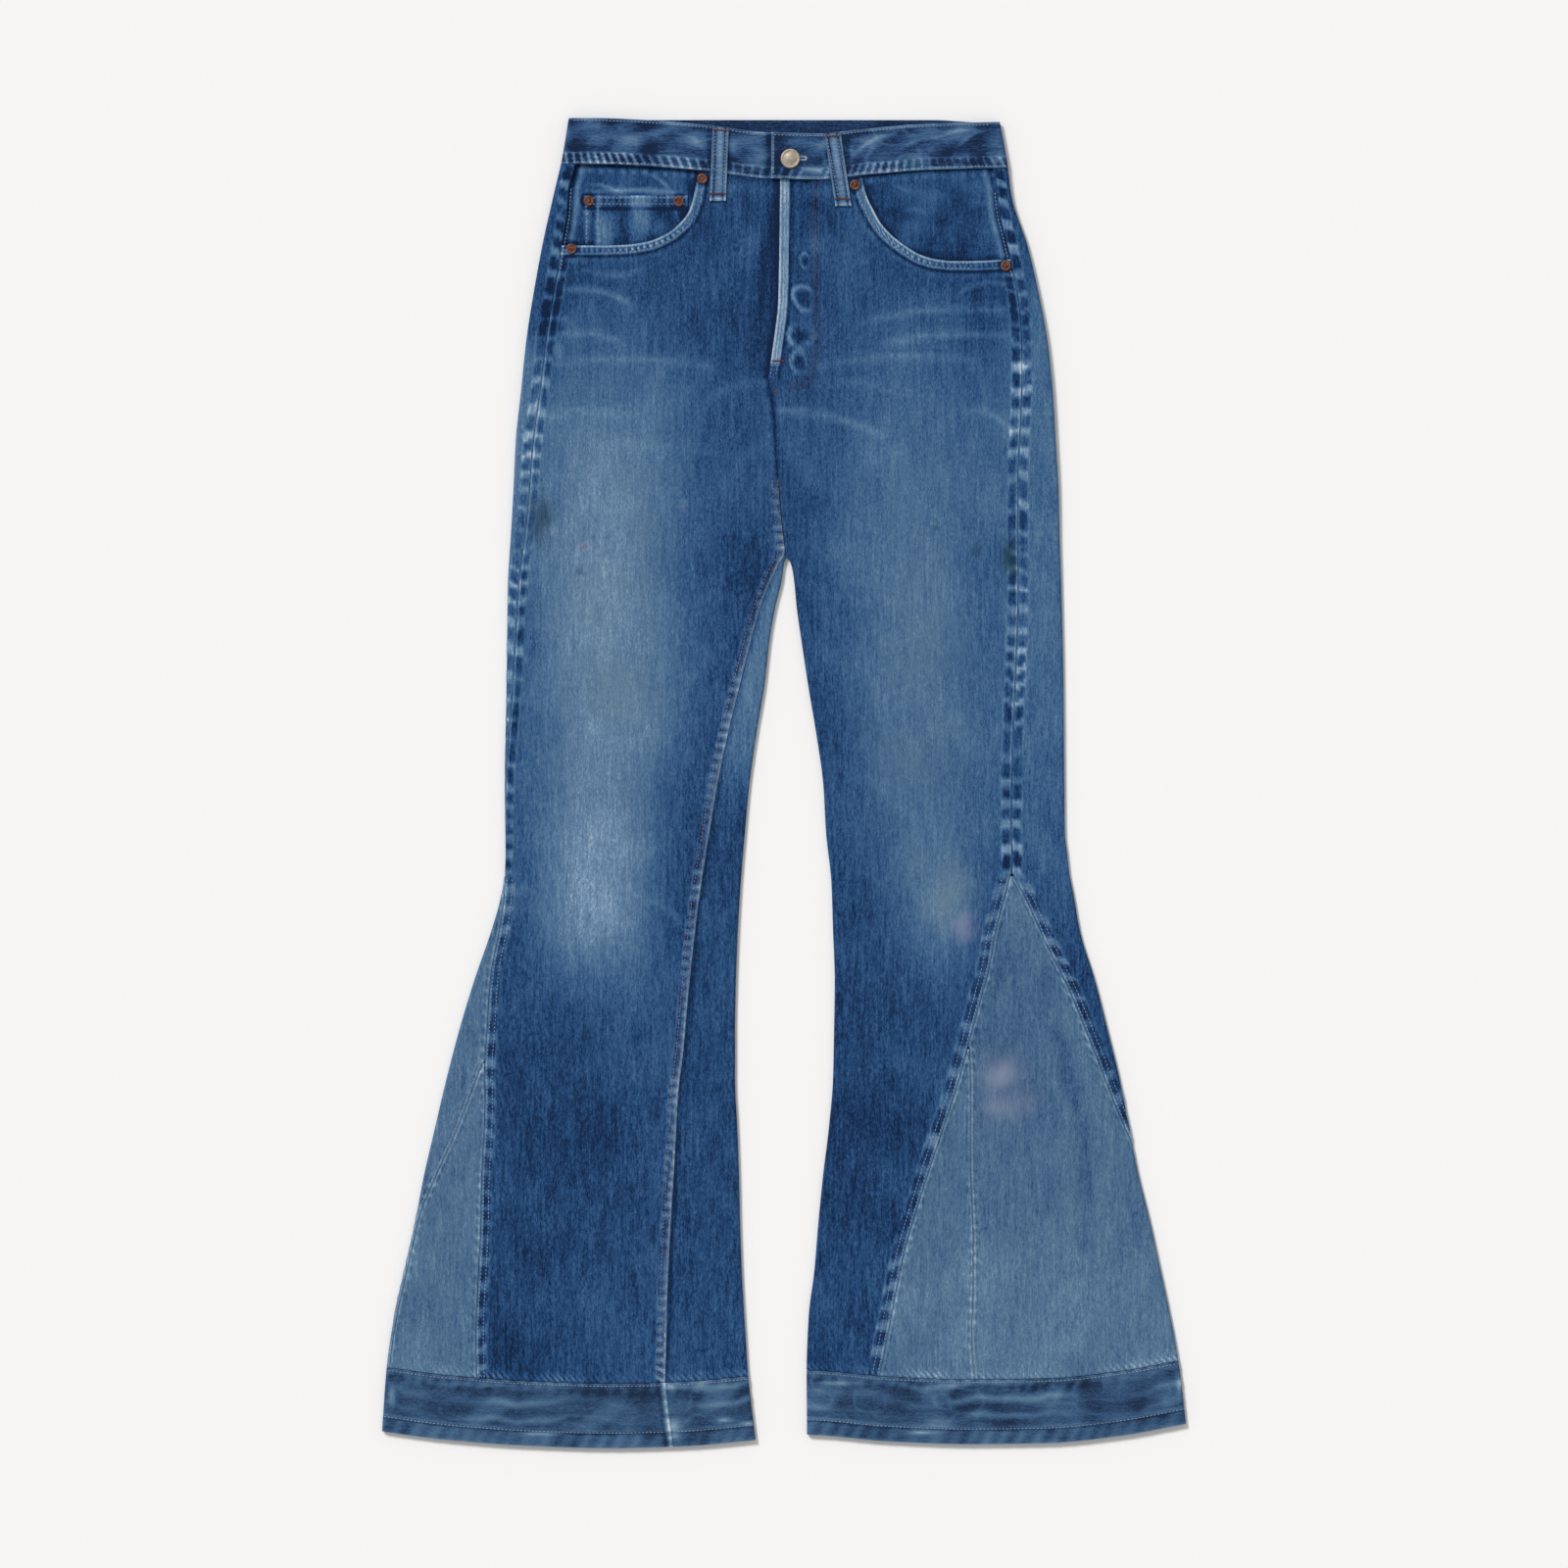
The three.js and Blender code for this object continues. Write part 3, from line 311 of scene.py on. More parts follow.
def polyline_distance(line, x, y):
    """Distance from points to a line of points, and how far along the line the nearest place is."""
    best = np.full(np.shape(x), 1e9)
    along = np.zeros(np.shape(x))
    start = 0.0
    for (ax, ay), (bx, by) in zip(line[:-1], line[1:]):
        dx, dy = bx - ax, by - ay
        long = math.hypot(dx, dy)
        t = np.clip(((x - ax) * dx + (y - ay) * dy) / long ** 2, 0, 1)
        d = np.hypot(x - ax - t * dx, y - ay - t * dy)
        nearer = d < best
        best = np.where(nearer, d, best)
        along = np.where(nearer, start + t * long, along)
        start += long
    return best, along


def reach_along(line):
    """How far along a line each of its points lies."""
    return np.concatenate([[0], np.cumsum(np.linalg.norm(np.diff(line, axis=0), axis=1))])


def sampled(values, reach, places):
    """Rows of values given along a line, at new places along it."""
    return np.stack([np.interp(places, reach, column) for column in np.transpose(values)], axis=1)


def rounded(line, step=2.0):
    """The same line with its corners eased and points at an even step."""
    line = np.array(line, float)
    reach = reach_along(line)
    places = np.linspace(0, reach[-1], max(int(reach[-1] / step), 2) + 1)
    return np.stack([through(dict(y=reach, at=column), places) for column in line.T], axis=1)


def rungs(along, period, seed):
    """Uneven light and dark rungs along a puckered seam, 0 to 1."""
    drift = 1.9 * np.sin(along / 41 + seed) + 1.2 * np.sin(along / 17 + 2.3 * seed)
    wave = 0.5 + 0.5 * np.sin(2 * math.pi * along / period + drift)
    size = 0.75 + 0.25 * np.sin(along / 29 + 3.1 * seed)
    return wave ** 1.3 * size


def wander(x, y, seed, scale):
    """Soft uneven field from a few crossing waves, about -1 to 1."""
    rng = np.random.default_rng(seed)
    total = 0
    for _ in range(7):
        angle, phase = rng.uniform(0, 2 * math.pi, 2)
        reach = scale * rng.uniform(0.6, 1.7)
        total = total + np.sin((x * math.cos(angle) + y * math.sin(angle)) / reach + phase)
    return total / 3.5


def crackle(x, y, seed, scale):
    """A loose net of thin worn lines, 0 to 1."""
    patches = ease(-0.6, 0.7, wander(x, y, seed + 50, 2.2 * scale))
    return patches * hill(wander(x, y, seed, scale), 0.05, 0.15)


# Fading down the thighs: level, centre, half width and strength on each leg
RIGHT_FADE = [
    # y, x, half width, strength
    (470, -120, 45, 0.0), (425, -130, 55, 0.10), (383, -138, 66, 0.22), (340, -145, 78, 0.38),
    (298, -150, 82, 0.50), (255, -155, 80, 0.57), (170, -160, 72, 0.62), (85, -155, 68, 0.62),
    (0, -157, 58, 0.66), (-60, -158, 52, 0.73), (-102, -160, 50, 0.77), (-128, -160, 50, 0.64),
    (-153, -160, 52, 0.40), (-180, -158, 54, 0.24), (-215, -150, 60, 0.11), (-280, -150, 60, 0.02),
]
LEFT_FADE = [
    (460, 100, 45, 0.0), (425, 104, 55, 0.08), (383, 108, 62, 0.18), (340, 112, 70, 0.30),
    (298, 114, 74, 0.36), (255, 114, 72, 0.42), (170, 112, 68, 0.44), (85, 112, 66, 0.40),
    (0, 118, 54, 0.40), (-60, 124, 46, 0.42), (-102, 130, 42, 0.36), (-140, 136, 38, 0.24),
    (-180, 140, 34, 0.08), (-230, 140, 34, 0.0),
]


def leg_fade(x, y, rows):
    table = np.array(rows, float)
    column = [through(dict(y=table[:, 0], at=table[:, k]), y) for k in (1, 2, 3)]
    across = (x - column[0]) / column[1]
    return column[2] * np.exp(-np.abs(across) ** 2.4)


# Worn crease lines: from x, y to x, y, half width and strength (dark where negative)
CREASES = [
    (-193, 428, -129, 414, 3.0, 0.24), (-204, 387, -136, 381, 3.2, 0.20), (-200, 364, -57, 360, 3.4, 0.15),
    (-221, 314, -136, 319, 4.0, 0.13), (-170, 293, -34, 280, 4.0, 0.07), (-214, 402, -180, 396, 2.4, 0.20),
    (68, 400, 195, 410, 3.0, 0.18), (85, 381, 200, 387, 3.2, 0.20), (25, 361, 170, 367, 3.4, 0.14),
    (-7, 323, 85, 302, 3.4, 0.22), (161, 323, 195, 306, 3.0, 0.18), (30, 345, 100, 338, 3.0, 0.10),
    (-70, 330, -12, 348, 4, 0.12), (-60, 250, -10, 300, 7, 0.07), (40, 250, 4, 300, 7, 0.07),
    (-125, -99, -86, -126, 3, 0.14), (-240, -98, -212, -97, 2.4, 0.18), (30, 120, 96, 60, 7, 0.06),
    (40, 20, 110, -30, 6, 0.07), (-230, 455, -190, 430, 4, 0.12), (190, 300, 232, 318, 4, 0.18),
    (-62, 486, -36, 520, 4, 0.10), (20, 508, 48, 470, 5, -0.08), (-60, 120, -110, 70, 6, 0.06),
    (150, 425, 200, 432, 2.6, 0.16), (-120, 448, -170, 445, 3.0, 0.16), (100, 20, 160, 60, 6, 0.05),
]


def crease_fade(x, y, creases, bow=6):
    total = 0
    for ax, ay, bx, by, half, strength in creases:
        long = math.hypot(bx - ax, by - ay)
        u = ((x - ax) * (bx - ax) + (y - ay) * (by - ay)) / long
        v = (-(x - ax) * (by - ay) + (y - ay) * (bx - ax)) / long
        bend = bow * np.sin(math.pi * np.clip(u / long, 0, 1))
        ends = ease(-8, 12, u) * ease(long + 8, long - 12, u)
        total = total + strength * ends * np.exp(-((v - bend) / half) ** 2)
    return total


class Look:
    """What a point of cloth gets: relief in millimetres, fading together with painted shade, and a stain's
    colour and share.
    """

    def __init__(self, shape, base):
        self.relief = np.zeros(shape)
        self.fade = np.full(shape, base)
        self.stain = np.zeros(shape + (4,))

    def ladder(self, distance, along, width, period, seed, light, dark, where=1.0, tall=0.45):
        """Puckered ridge beside a seam: pale rungs and rails round darker hollows."""
        lean = 0.5 * distance * np.sin(along / 50 + seed)
        rung = ease(0.30, 0.70, rungs(along + lean, period, seed))
        track = ease(0.2, 1.4, distance) * ease(width + 1.0, width - 1.2, distance) * where
        uneven = 0.80 + 0.30 * np.sin(along / 33 + 2.1 * seed) * np.sin(along / 13 + seed)
        rail = hill(distance, width - 0.2, 1.0) + 0.9 * hill(distance, 1.0, 0.8)
        self.relief += track * (0.15 + tall * rung) * (distance > 0)
        self.fade += track * uneven * (light * rung - dark * (1 - rung))
        self.fade += 0.55 * light * rail * uneven * where
        self.fade += -0.06 * hill(distance, 0, 0.5) * where

    def hem_ticks(self, x, level):
        """Short slanting puckers just above the hem band."""
        above = level - HEM_SEAM
        ticks = rungs(x + 0.9 * above, 5.6, 5.0) ** 1.5
        reach = hill(above, 2.5, 4.5) * (0.55 + 0.45 * np.sin(x / 37 + 1) * np.sin(x / 11))
        self.fade += 0.85 * ticks * reach - 0.10 * hill(above, 0, 1.2)
        self.relief += 0.35 * ticks * reach

    def blotch(self, x, y, spot, colour, share):
        weight = share * blob(x, y, spot)
        uneven = np.clip(weight * (1 + 0.45 * wander(x, y, int(abs(spot[0])) + 5, spot[2] * 0.35)), 0, 1)
        self.stain[..., :3] = np.where(uneven[..., None] > self.stain[..., 3:], colour, self.stain[..., :3])
        self.stain[..., 3] = np.maximum(self.stain[..., 3], uneven)


def linear(red, green, blue):
    """A colour seen on the garment, as the linear values that shaders use."""
    def one(v):
        v = v / 255
        return v / 12.92 if v <= 0.04045 else ((v + 0.055) / 1.055) ** 2.4
    return one(red), one(green), one(blue)


class Sheet:
    """A grid of cloth with its look; surface() also places stitches on it."""

    def __init__(self, leg, kind, look, cloth=CLOTH):
        self.leg, self.kind, self.look, self.cloth = leg, kind, look, cloth

    def section(self, y):
        """The tube at levels, and the sheet's two edges on it."""
        cut = Section(self.leg, y, self.kind == "hem")
        low, high = EDGES[self.kind]
        return cut, low(self.leg, y, cut) + SEAM, high(self.leg, y, cut) - SEAM

    def surface(self, y, s):
        """Outer points, outward directions and the look, and the points without their relief."""
        cut, low, high = self.section(y)
        x, fy, z, nx, nz = on_tube(self.leg, cut, s)
        look = self.look(self.leg, x, fy, y, s - low, high - s, nz)
        bare, way = np.stack([x, fy, z], axis=-1), np.stack([nx, 0 * nx, nz], axis=-1)
        return bare + way * (look.relief * (nz > 0.2))[..., None], way, look, bare

    def grid(self, level, rows, spacing, seam=1.7, reach=13.0):
        """Levels and distances over the cloth, closer at seams and round rolled edges."""
        probe = np.linspace(0, 1, PROBES)
        cut, low, high = self.section(level(rows[:, None], np.zeros((1, 1))))
        s = low + (high - low) * probe
        place = wrapped(s, cut)
        facing_up = place > 0
        density = np.where(facing_up, 1 / spacing, 1 / UNDER_SPACING)
        roll = (np.abs(place) < cut.quarter + 1) | (np.abs(place) > cut.quarter + cut.flat - 1)
        density = np.where(roll, ROLL_DENSITY, density)
        near = ((s - low < reach) | (high - s < reach)) & (facing_up | roll)
        density = np.where(near, np.maximum(density, 1 / seam), density)
        steps_on = 0.5 * (density[:, 1:] + density[:, :-1]) * np.diff(s, axis=1)
        count = np.pad(np.cumsum(steps_on, axis=1), ((0, 0), (1, 0)))
        places = np.linspace(0, count[:, -1], int(np.ceil(count[:, -1].max())) + 1, axis=1)
        share = np.array([np.interp(at, row, probe) for at, row in zip(places, count)])
        y = level(rows[:, None], share)
        _, low, high = self.section(y)
        return y, low + (high - low) * share


SHARP_FOLD = math.radians(50)


def linked(name, data):
    thing = bpy.data.objects.new(name, data)
    bpy.context.scene.collection.objects.link(thing)
    return thing


def closed_mesh(name, outer, inner, look, inside=None):
    """A closed sheet from its outer and inner points, in millimetres, rows by columns."""
    points = np.concatenate([outer.reshape(-1, 3), inner.reshape(-1, 3)]) * MM
    o = np.arange(outer[..., 0].size).reshape(outer.shape[:2])
    i = o + o.size
    corners = [
        (o[:-1, :-1], o[1:, :-1], o[1:, 1:], o[:-1, 1:]), (i[:-1, :-1], i[:-1, 1:], i[1:, 1:], i[1:, :-1]),
        (o[:-1, 0], i[:-1, 0], i[1:, 0], o[1:, 0]), (o[:-1, -1], o[1:, -1], i[1:, -1], i[:-1, -1]),
        (o[0, :-1], o[0, 1:], i[0, 1:], i[0, :-1]), (o[-1, :-1], i[-1, :-1], i[-1, 1:], o[-1, 1:])]
    faces = np.concatenate([np.stack([corner.ravel() for corner in four], axis=1) for four in corners])
    quad = points[faces]
    volume = sum(np.sum(quad[:, 0] * np.cross(quad[:, k], quad[:, k + 1])) for k in (1, 2))
    if volume < 0:
        faces = faces[:, ::-1]
    mesh = bpy.data.meshes.new(name)
    mesh.from_pydata(points.tolist(), [], faces.tolist())
    mesh.shade_smooth()
    mesh.set_sharp_from_angle(angle=SHARP_FOLD)
    inside = look.fade if inside is None else inside
    fade = np.concatenate([look.fade.ravel(), inside.ravel()]).astype(np.float32)
    mesh.attributes.new("fade", "FLOAT", "POINT").data.foreach_set("value", fade)
    stain = np.tile(look.stain.reshape(-1, 4), (2, 1)).ravel().astype(np.float32)
    mesh.attributes.new("stain", "FLOAT_COLOR", "POINT").data.foreach_set("color", stain)
    return linked(name, mesh)


# Materials
RAMP = [
    # share, red, green, blue as seen
    (0.00, 16, 35, 70), (0.20, 33, 68, 118), (0.40, 55, 91, 139), (0.60, 77, 111, 149),
    (0.80, 98, 129, 164), (1.00, 122, 153, 187), (1.35, 192, 208, 222),
]
RAMP_TOP = 1.35
TWILL_PER_M = 620.0
TWILL_ZOOM = 20
SPECK = 0.19


class Paint:
    """A material's nodes, with small helpers that add and join more of them."""

    def __init__(self, name):
        self.material = bpy.data.materials.new(name)
        self.material.use_nodes = True
        self.tree = self.material.node_tree
        self.shader = self.tree.nodes["Principled BSDF"]
        self.place = self.add("TexCoord", {}).outputs["Object"]

    def put(self, node, inputs):
        """Set each input named to a constant, or join it to another node's output."""
        for name, value in inputs.items():
            if isinstance(value, bpy.types.NodeSocket):
                self.tree.links.new(value, node.inputs[name])
            else:
                node.inputs[name].default_value = value

    def add(self, kind, inputs, **settings):
        node = self.tree.nodes.new("ShaderNode" + kind)
        for name, value in settings.items():
            setattr(node, name, value)
        self.put(node, inputs)
        return node

    def mapped(self, scale, turn=0.0):
        inputs = {"Scale": scale, "Rotation": (0, 0, turn), "Vector": self.place}
        return self.add("Mapping", inputs).outputs["Vector"]

    def noise(self, scale, detail, rough=0.6):
        inputs = {"Vector": self.mapped(scale), "Scale": 1.0, "Detail": detail, "Roughness": rough}
        return self.add("TexNoise", inputs).outputs["Fac"]

    def maths(self, kind, first, second):
        return self.add("Math", {0: first, 1: second}, operation=kind).outputs[0]

    def mixed(self, *shares):
        """The sum of fields, each times its share."""
        parts = [self.maths("MULTIPLY", field, share) for field, share in shares]
        total = parts[0]
        for part in parts[1:]:
            total = self.maths("ADD", total, part)
        return total

    def ramp(self, value, stops):
        node = self.add("ValToRGB", {"Fac": value})
        elements = node.color_ramp.elements
        while len(elements) < len(stops):
            elements.new(0.5)
        for element, (position, colour) in zip(elements, stops):
            element.position = position
            element.color = (*linear(*colour), 1)
        return node.outputs["Color"]

    def finish(self, inputs, height, strength, distance):
        bump = self.add("Bump", {"Strength": strength, "Distance": distance, "Height": height})
        self.put(self.shader, inputs | {"Normal": bump.outputs["Normal"]})
        return self.material


def denim(name, streak=0.16, grey=0.0, hue=0.495, crosswise=False):
    """Worn twill: the fade attribute, which holds both wear and painted shade, sets how light it is, with
    yarn streaks, specks and stains over it.
    """
    paint = Paint(name)
    add, maths = paint.add, paint.maths
    order = (1, 0, 2) if crosswise else (0, 1, 2)

    def yarn(scale, detail, rough=0.6):
        return paint.noise([scale[k] for k in order], detail, rough)

    warp = yarn((430, 30, 40), 4, 0.75)
    grain = paint.noise((1500, 1500, 1500), 2)
    fields = [
        (warp, streak * 4.6), (yarn((150, 48, 60), 3), streak * 2.0),
        (yarn((1000, 260, 300), 2), streak * 5.6), (grain, SPECK * 4.5),
        (yarn((40, 26, 30), 5, 0.65), 0.22),
    ]
    total = add("Attribute", {}, attribute_name="fade").outputs["Fac"]
    for field, amount in fields:
        total = maths("ADD", total, maths("MULTIPLY", maths("SUBTRACT", field, 0.5), amount))
    stops = [(share / RAMP_TOP, colour) for share, *colour in RAMP]
    cloth = paint.ramp(maths("DIVIDE", total, RAMP_TOP), stops)
    stain = add("Attribute", {}, attribute_name="stain").outputs
    mix = add("Mix", {"Factor": stain["Alpha"], "A": cloth, "B": stain["Color"]}, data_type="RGBA")
    tone = add("HueSaturation", {"Hue": hue, "Saturation": 1.0 - grey, "Color": mix.outputs["Result"]})
    slant = paint.mapped((TWILL_ZOOM, TWILL_ZOOM, TWILL_ZOOM), math.radians(-62))
    twill = add("TexWave", {"Scale": TWILL_PER_M / TWILL_ZOOM, "Distortion": 1.5, "Detail": 2,
                            "Detail Scale": 3, "Vector": slant}).outputs["Fac"]
    surface = {"Base Color": tone.outputs["Color"], "Roughness": 0.9, "Specular IOR Level": 0.1}
    return paint.finish(surface, paint.mixed((twill, 0.6), (grain, 0.7), (warp, 0.8)), 0.6, 0.0005)


def metal(name, colour, rough, tarnish):
    """Worn metal with darker, rougher blotches."""
    paint = Paint(name)
    spots = paint.noise((420, 420, 420), 5)
    both = paint.mixed((spots, 0.7), (paint.noise((300, 2600, 600), 3), 0.3))
    base = paint.ramp(both, [(0.36, tarnish), (0.62, colour)])
    roughness = paint.maths("SUBTRACT", rough + 0.35, paint.maths("MULTIPLY", spots, 0.3))
    return paint.finish({"Metallic": 0.55, "Base Color": base, "Roughness": roughness}, both, 0.4, 0.0003)


def thread(name, colour):
    """Cotton sewing thread, worn paler in places."""
    paint = Paint(name)
    base = paint.ramp(paint.noise((60, 60, 60), 4), [(0.34, [v * 0.82 for v in colour]), (0.64, colour)])
    surface = {"Roughness": 0.85, "Specular IOR Level": 0.2, "Base Color": base}
    return paint.finish(surface, paint.noise((2600, 2600, 2600), 2), 0.4, 0.0002)


INDIGO = denim("indigo_denim")
GUSSET = denim("gusset_denim", grey=0.08, hue=0.490)
HEM = denim("hem_denim", streak=0.08, grey=0.11, hue=0.487, crosswise=True)
BAND = denim("band_denim", streak=0.14, grey=0.06, crosswise=True)
FACING = denim("facing_denim", streak=0.12)
COPPER = metal("copper", (138, 90, 70), 0.4, (58, 40, 38))
BRASS = metal("brass", (190, 179, 163), 0.42, (150, 138, 122))
PALE_THREAD = thread("pale_thread", (158, 172, 192))
TAN_THREAD = thread("tan_thread", (176, 132, 98))
BROWN_THREAD = thread("brown_thread", (102, 74, 78))


def finish_piece(piece, material, node, slot=None):
    """Give a piece its material, attach it to the root and hide the CAD part it stands for; the slot
    argument is not used.
    """
    piece.data.materials.append(material)
    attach(piece, "root")
    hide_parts(node)
    return piece


def steps(start, end, step):
    return np.linspace(start, end, int(round(abs(end - start) / step)) + 1)


# Rows of the sheets
def level_rows(row, share):
    return row + 0 * share


def yoke_seam(share):
    return YOKE_CENTRE + (YOKE_SIDE - YOKE_CENTRE) * share


def back_rows(row, share):
    share_up = (row - YOKE_KEEP) / (PANEL_TOP - YOKE_KEEP)
    stretched = YOKE_KEEP + share_up * (yoke_seam(share) - SEAM - YOKE_KEEP)
    return np.where(row > YOKE_KEEP, stretched, row + 0 * share)


def yoke_rows(row, share):
    bottom = yoke_seam(share) + SEAM
    return bottom + (PANEL_TOP - bottom) * row


MOUTH_KEEP, MOUTH_LOWEST, HALVINGS = 420.0, 440.0, 24
MOUTHS = {leg.name: rounded(leg.mouth) for leg in (RIGHT, LEFT)}


def mouth_rows(sheet):
    """The front panel's rows, bent down to the pocket mouth's edge above a level."""
    leg = sheet.leg
    mouth = MOUTHS[leg.name]
    edge = mouth[np.argsort(mouth[:, 0])].T

    def top_at(share):
        below = np.full(np.shape(share), MOUTH_LOWEST)
        above = np.full(np.shape(share), PANEL_TOP)
        for _ in range(HALVINGS):
            y = (below + above) / 2
            cut, low, high = sheet.section(y)
            x, fy, *_ = on_tube(leg, cut, low + (high - low) * share)
            on_cloth = (fy < np.interp(x, *edge)) | (leg.sign * (x - leg.mouth[0, 0]) < 0)
            below, above = np.where(on_cloth, y, below), np.where(on_cloth, above, y)
        return (below + above) / 2

    def rows(row, share):
        end = top_at(share) if np.any(row > MOUTH_KEEP) else share * 0 + MOUTH_KEEP
        bent = MOUTH_KEEP + (row - MOUTH_KEEP) * (end - MOUTH_KEEP) / (PANEL_TOP - MOUTH_KEEP)
        return np.where(row > MOUTH_KEEP, bent, row + 0 * share)

    return rows


# Wear and relief of each kind of piece
LIP = 8.0
FACES_UP = 0.9
INTO_GUSSET = (-92, -72)
GREEN, ORANGE, PINK = linear(36, 62, 82), linear(150, 124, 116), linear(134, 142, 172)
GREY = linear(110, 133, 146)
STAINS = [
    # x, y, half width, half height, turn, colour, share
    (-211, 229, 10, 17, 0, GREEN, 0.80), (195, 196, 7, 14, 10, GREEN, 0.85),
    (-177, 184, 4, 4, 0, GREEN, 0.6), (132, 222, 3, 4, 0, GREEN, 0.6), (167, 203, 5, 5, 0, GREEN, 0.6),
    (-171, 206, 8, 3, 0, ORANGE, 0.35), (-87, 241, 4, 1.2, 20, PINK, 0.5),
    (-150, 120, 40, 150, 0, GREY, 0.26), (114, 70, 38, 150, 0, GREY, 0.18),
    (142, -98, 22, 26, 0, GREY, 0.40), (189, -250, 17, 14, 20, PINK, 0.72),
    (194, -276, 20, 12, 0, PINK, 0.60), (154, -122, 11, 12, 0, PINK, 0.60),
]
# Painted shade in hollows, and paler rubbed spots
SHADES = [
    # x, y, half width, half height, turn, change of fading
    (-200, 408, 8, 25, -8, -0.26), (208, 402, 6, 26, 0, -0.22), (142, -106, 27, 32, 0, 0.24),
    (206, 362, 4.5, 5, 0, 0.60), (212, 352, 6, 3, 20, 0.30), (164, 293, 1.4, 6, 0, 0.34),
    (-196, 376, 5, 7, 0, 0.26), (-86, 245, 5, 1.2, 15, 0.25), (-16, 302, 22, 36, 0, 0.07),
    (-40, 470, 14, 34, -18, 0.10), (-30, 500, 10, 20, 30, -0.08), (70, 452, 30, 26, 30, 0.06),
]


def shades(look, x, y):
    for *spot, change in SHADES:
        look.fade += change * blob(x, y, spot)


def stains(look, x, y):
    for *spot, colour, share in STAINS:
        look.blotch(x, y, spot, colour, share)


def mouth_marks(look, leg, x, y, up):
    """The doubled edge of the pocket mouth, puckered across its curve."""
    d, along = polyline_distance(MOUTHS[leg.name], x, y)
    lip = ease(LIP + 0.6, LIP - 0.4, d) * (up > FACES_UP)
    bend = ease(20, 48, along)
    rung = rungs(along, 4.8, 2.0)
    middle = hill(d, 4.2, 1.6)
    look.relief += lip * (0.5 + 0.20 * rung * bend)
    look.fade += lip * (0.42 - 0.16 * bend) + middle * bend * (1.0 * rung - 0.46 * (1 - rung))
    look.fade += 0.64 * hill(d, 0.8, 1.0) - 0.22 * (hill(d, 2.2, 0.5) + hill(d, 5.8, 0.5)) * lip
    look.fade += 0.20 * hill(d, 7.2, 0.7) - 0.30 * hill(d, LIP + 1.4, 1.3)
    look.fade += 0.16 * hill(d, LIP + 5, 2.6) * (0.4 + 0.6 * rungs(along, 9, 5))


ON_PANEL = HIP_FRONT + 0.6 + GAP
ON_COIN = LAYER_TOP + GAP
RIVETS = {
    "mouth_inner_right": (-70.8, 524.4, ON_PANEL), "mouth_outer_right": (-183.9, 463.8, ON_PANEL),
    "coin_outer": (-169.2, 505.4, ON_COIN), "coin_inner": (-91.2, 504.9, ON_COIN),
    "mouth_inner_left": (61.6, 519.0, ON_PANEL), "mouth_outer_left": (192.1, 448.8, ON_PANEL),
}


# Rings that the fly's buttons have worn through the left front: x, y, half width, half height
BUTTON_MARKS = [(18.5, 453, 4, 6), (17, 421, 8.5, 10.5), (14.5, 388, 10, 9.5), (13, 365, 7, 9)]


def rivet_shade_and_rim(look, x, y):
    """Painted shade in a ring round each rivet, where the real cloth is sunken, and a paler rim just beyond.
    """
    for rx, ry, _ in RIVETS.values():
        d = np.hypot(x - rx, y - ry)
        look.fade += -0.42 * np.exp(-((d / 7.2) ** 4)) + 0.16 * hill(d, 9.2, 1.6)


def fly_marks(look, leg, x, y, level, edge):
    """The fly's folded edge on the left front, worn buttons, and the shaded right front beside it."""
    fly = ease(FLY_END - 2, FLY_END + 2, level)
    if leg is LEFT:
        strip = ease(LIP + 0.6, LIP - 0.3, edge) * fly
        look.relief += 0.5 * strip
        pale = ease(363, 368, level)
        look.fade += strip * (0.06 + 0.78 * pale) + 0.24 * fly * hill(edge, 0.6, 0.8) * pale
        look.fade += -0.32 * fly * (hill(edge, 2.6, 0.6) + hill(edge, 5.6, 0.6)) * pale
        look.fade += -0.26 * fly * hill(edge, LIP + 1.4, 1.3)
        for bx, by, wide, high in BUTTON_MARKS:
            ring = np.hypot((x - bx) / wide, (y - by) / high)
            turn = np.arctan2(y - by, x - bx)
            ring = ring * (1 + 0.11 * np.sin(2 * turn + by) + 0.07 * np.sin(3 * turn + 2 * bx))
            part = 0.15 + 0.85 * (0.5 - 0.5 * np.cos(turn + 0.5 * np.sin(by))) ** 0.8
            look.fade += 0.72 * hill(ring, 1.0, 0.20) * part
            look.fade += -0.26 * hill(ring, 0.0, 0.62) - 0.14 * hill(ring, 1.42, 0.14) * part
            look.relief += 0.3 * hill(ring, 0.9, 0.25)
        look.fade += 0.16 * blob(x, y, (22, 467, 14, 9, 0))
        look.fade += -0.06 * blob(x, y, (20, 500, 12, 14, 0))
    else:
        # Painted shadow on the right front where the left front laps over it, and painted shade in the fold
        # beside the fly, with a paler patch further out
        look.fade += -0.24 * fly * hill(edge, 0, 6) - 0.22 * fly * hill(edge, 0, 3)
        look.fade += -0.18 * blob(x, y, (-17, 440, 6, 55, -6)) + 0.10 * blob(x, y, (-27, 470, 7, 40, -8))
    below = (1 - fly) * ease(CROTCH - 6, CROTCH + 4, level)
    look.fade += -0.20 * below * hill(edge, 0, 2.2) + 0.10 * below * hill(edge, 4.5, 2) * rungs(y, 8, 3)


# Ladders of puckers beside the side seam, over the leg and then beside the gusset
SIDE_LADDERS = {
    # width, period, seed, light, dark
    ("front", "right"): ((7.6, 18.0, 1.0, 0.40, 0.30), (9.0, 17.0, 1.5, 0.46, 0.14)),
    ("front", "left"): ((8.8, 18.5, 3.0, 0.48, 0.36), (11.0, 22.0, 3.5, 0.50, 0.14)),
    ("back", "right"): ((8.4, 18.0, 1.2, 0.44, 0.34), (10.0, 20.0, 1.9, 0.46, 0.18)),
    ("back", "left"): ((8.6, 18.5, 3.3, 0.52, 0.36), (10.5, 22.0, 3.9, 0.48, 0.18)),
}


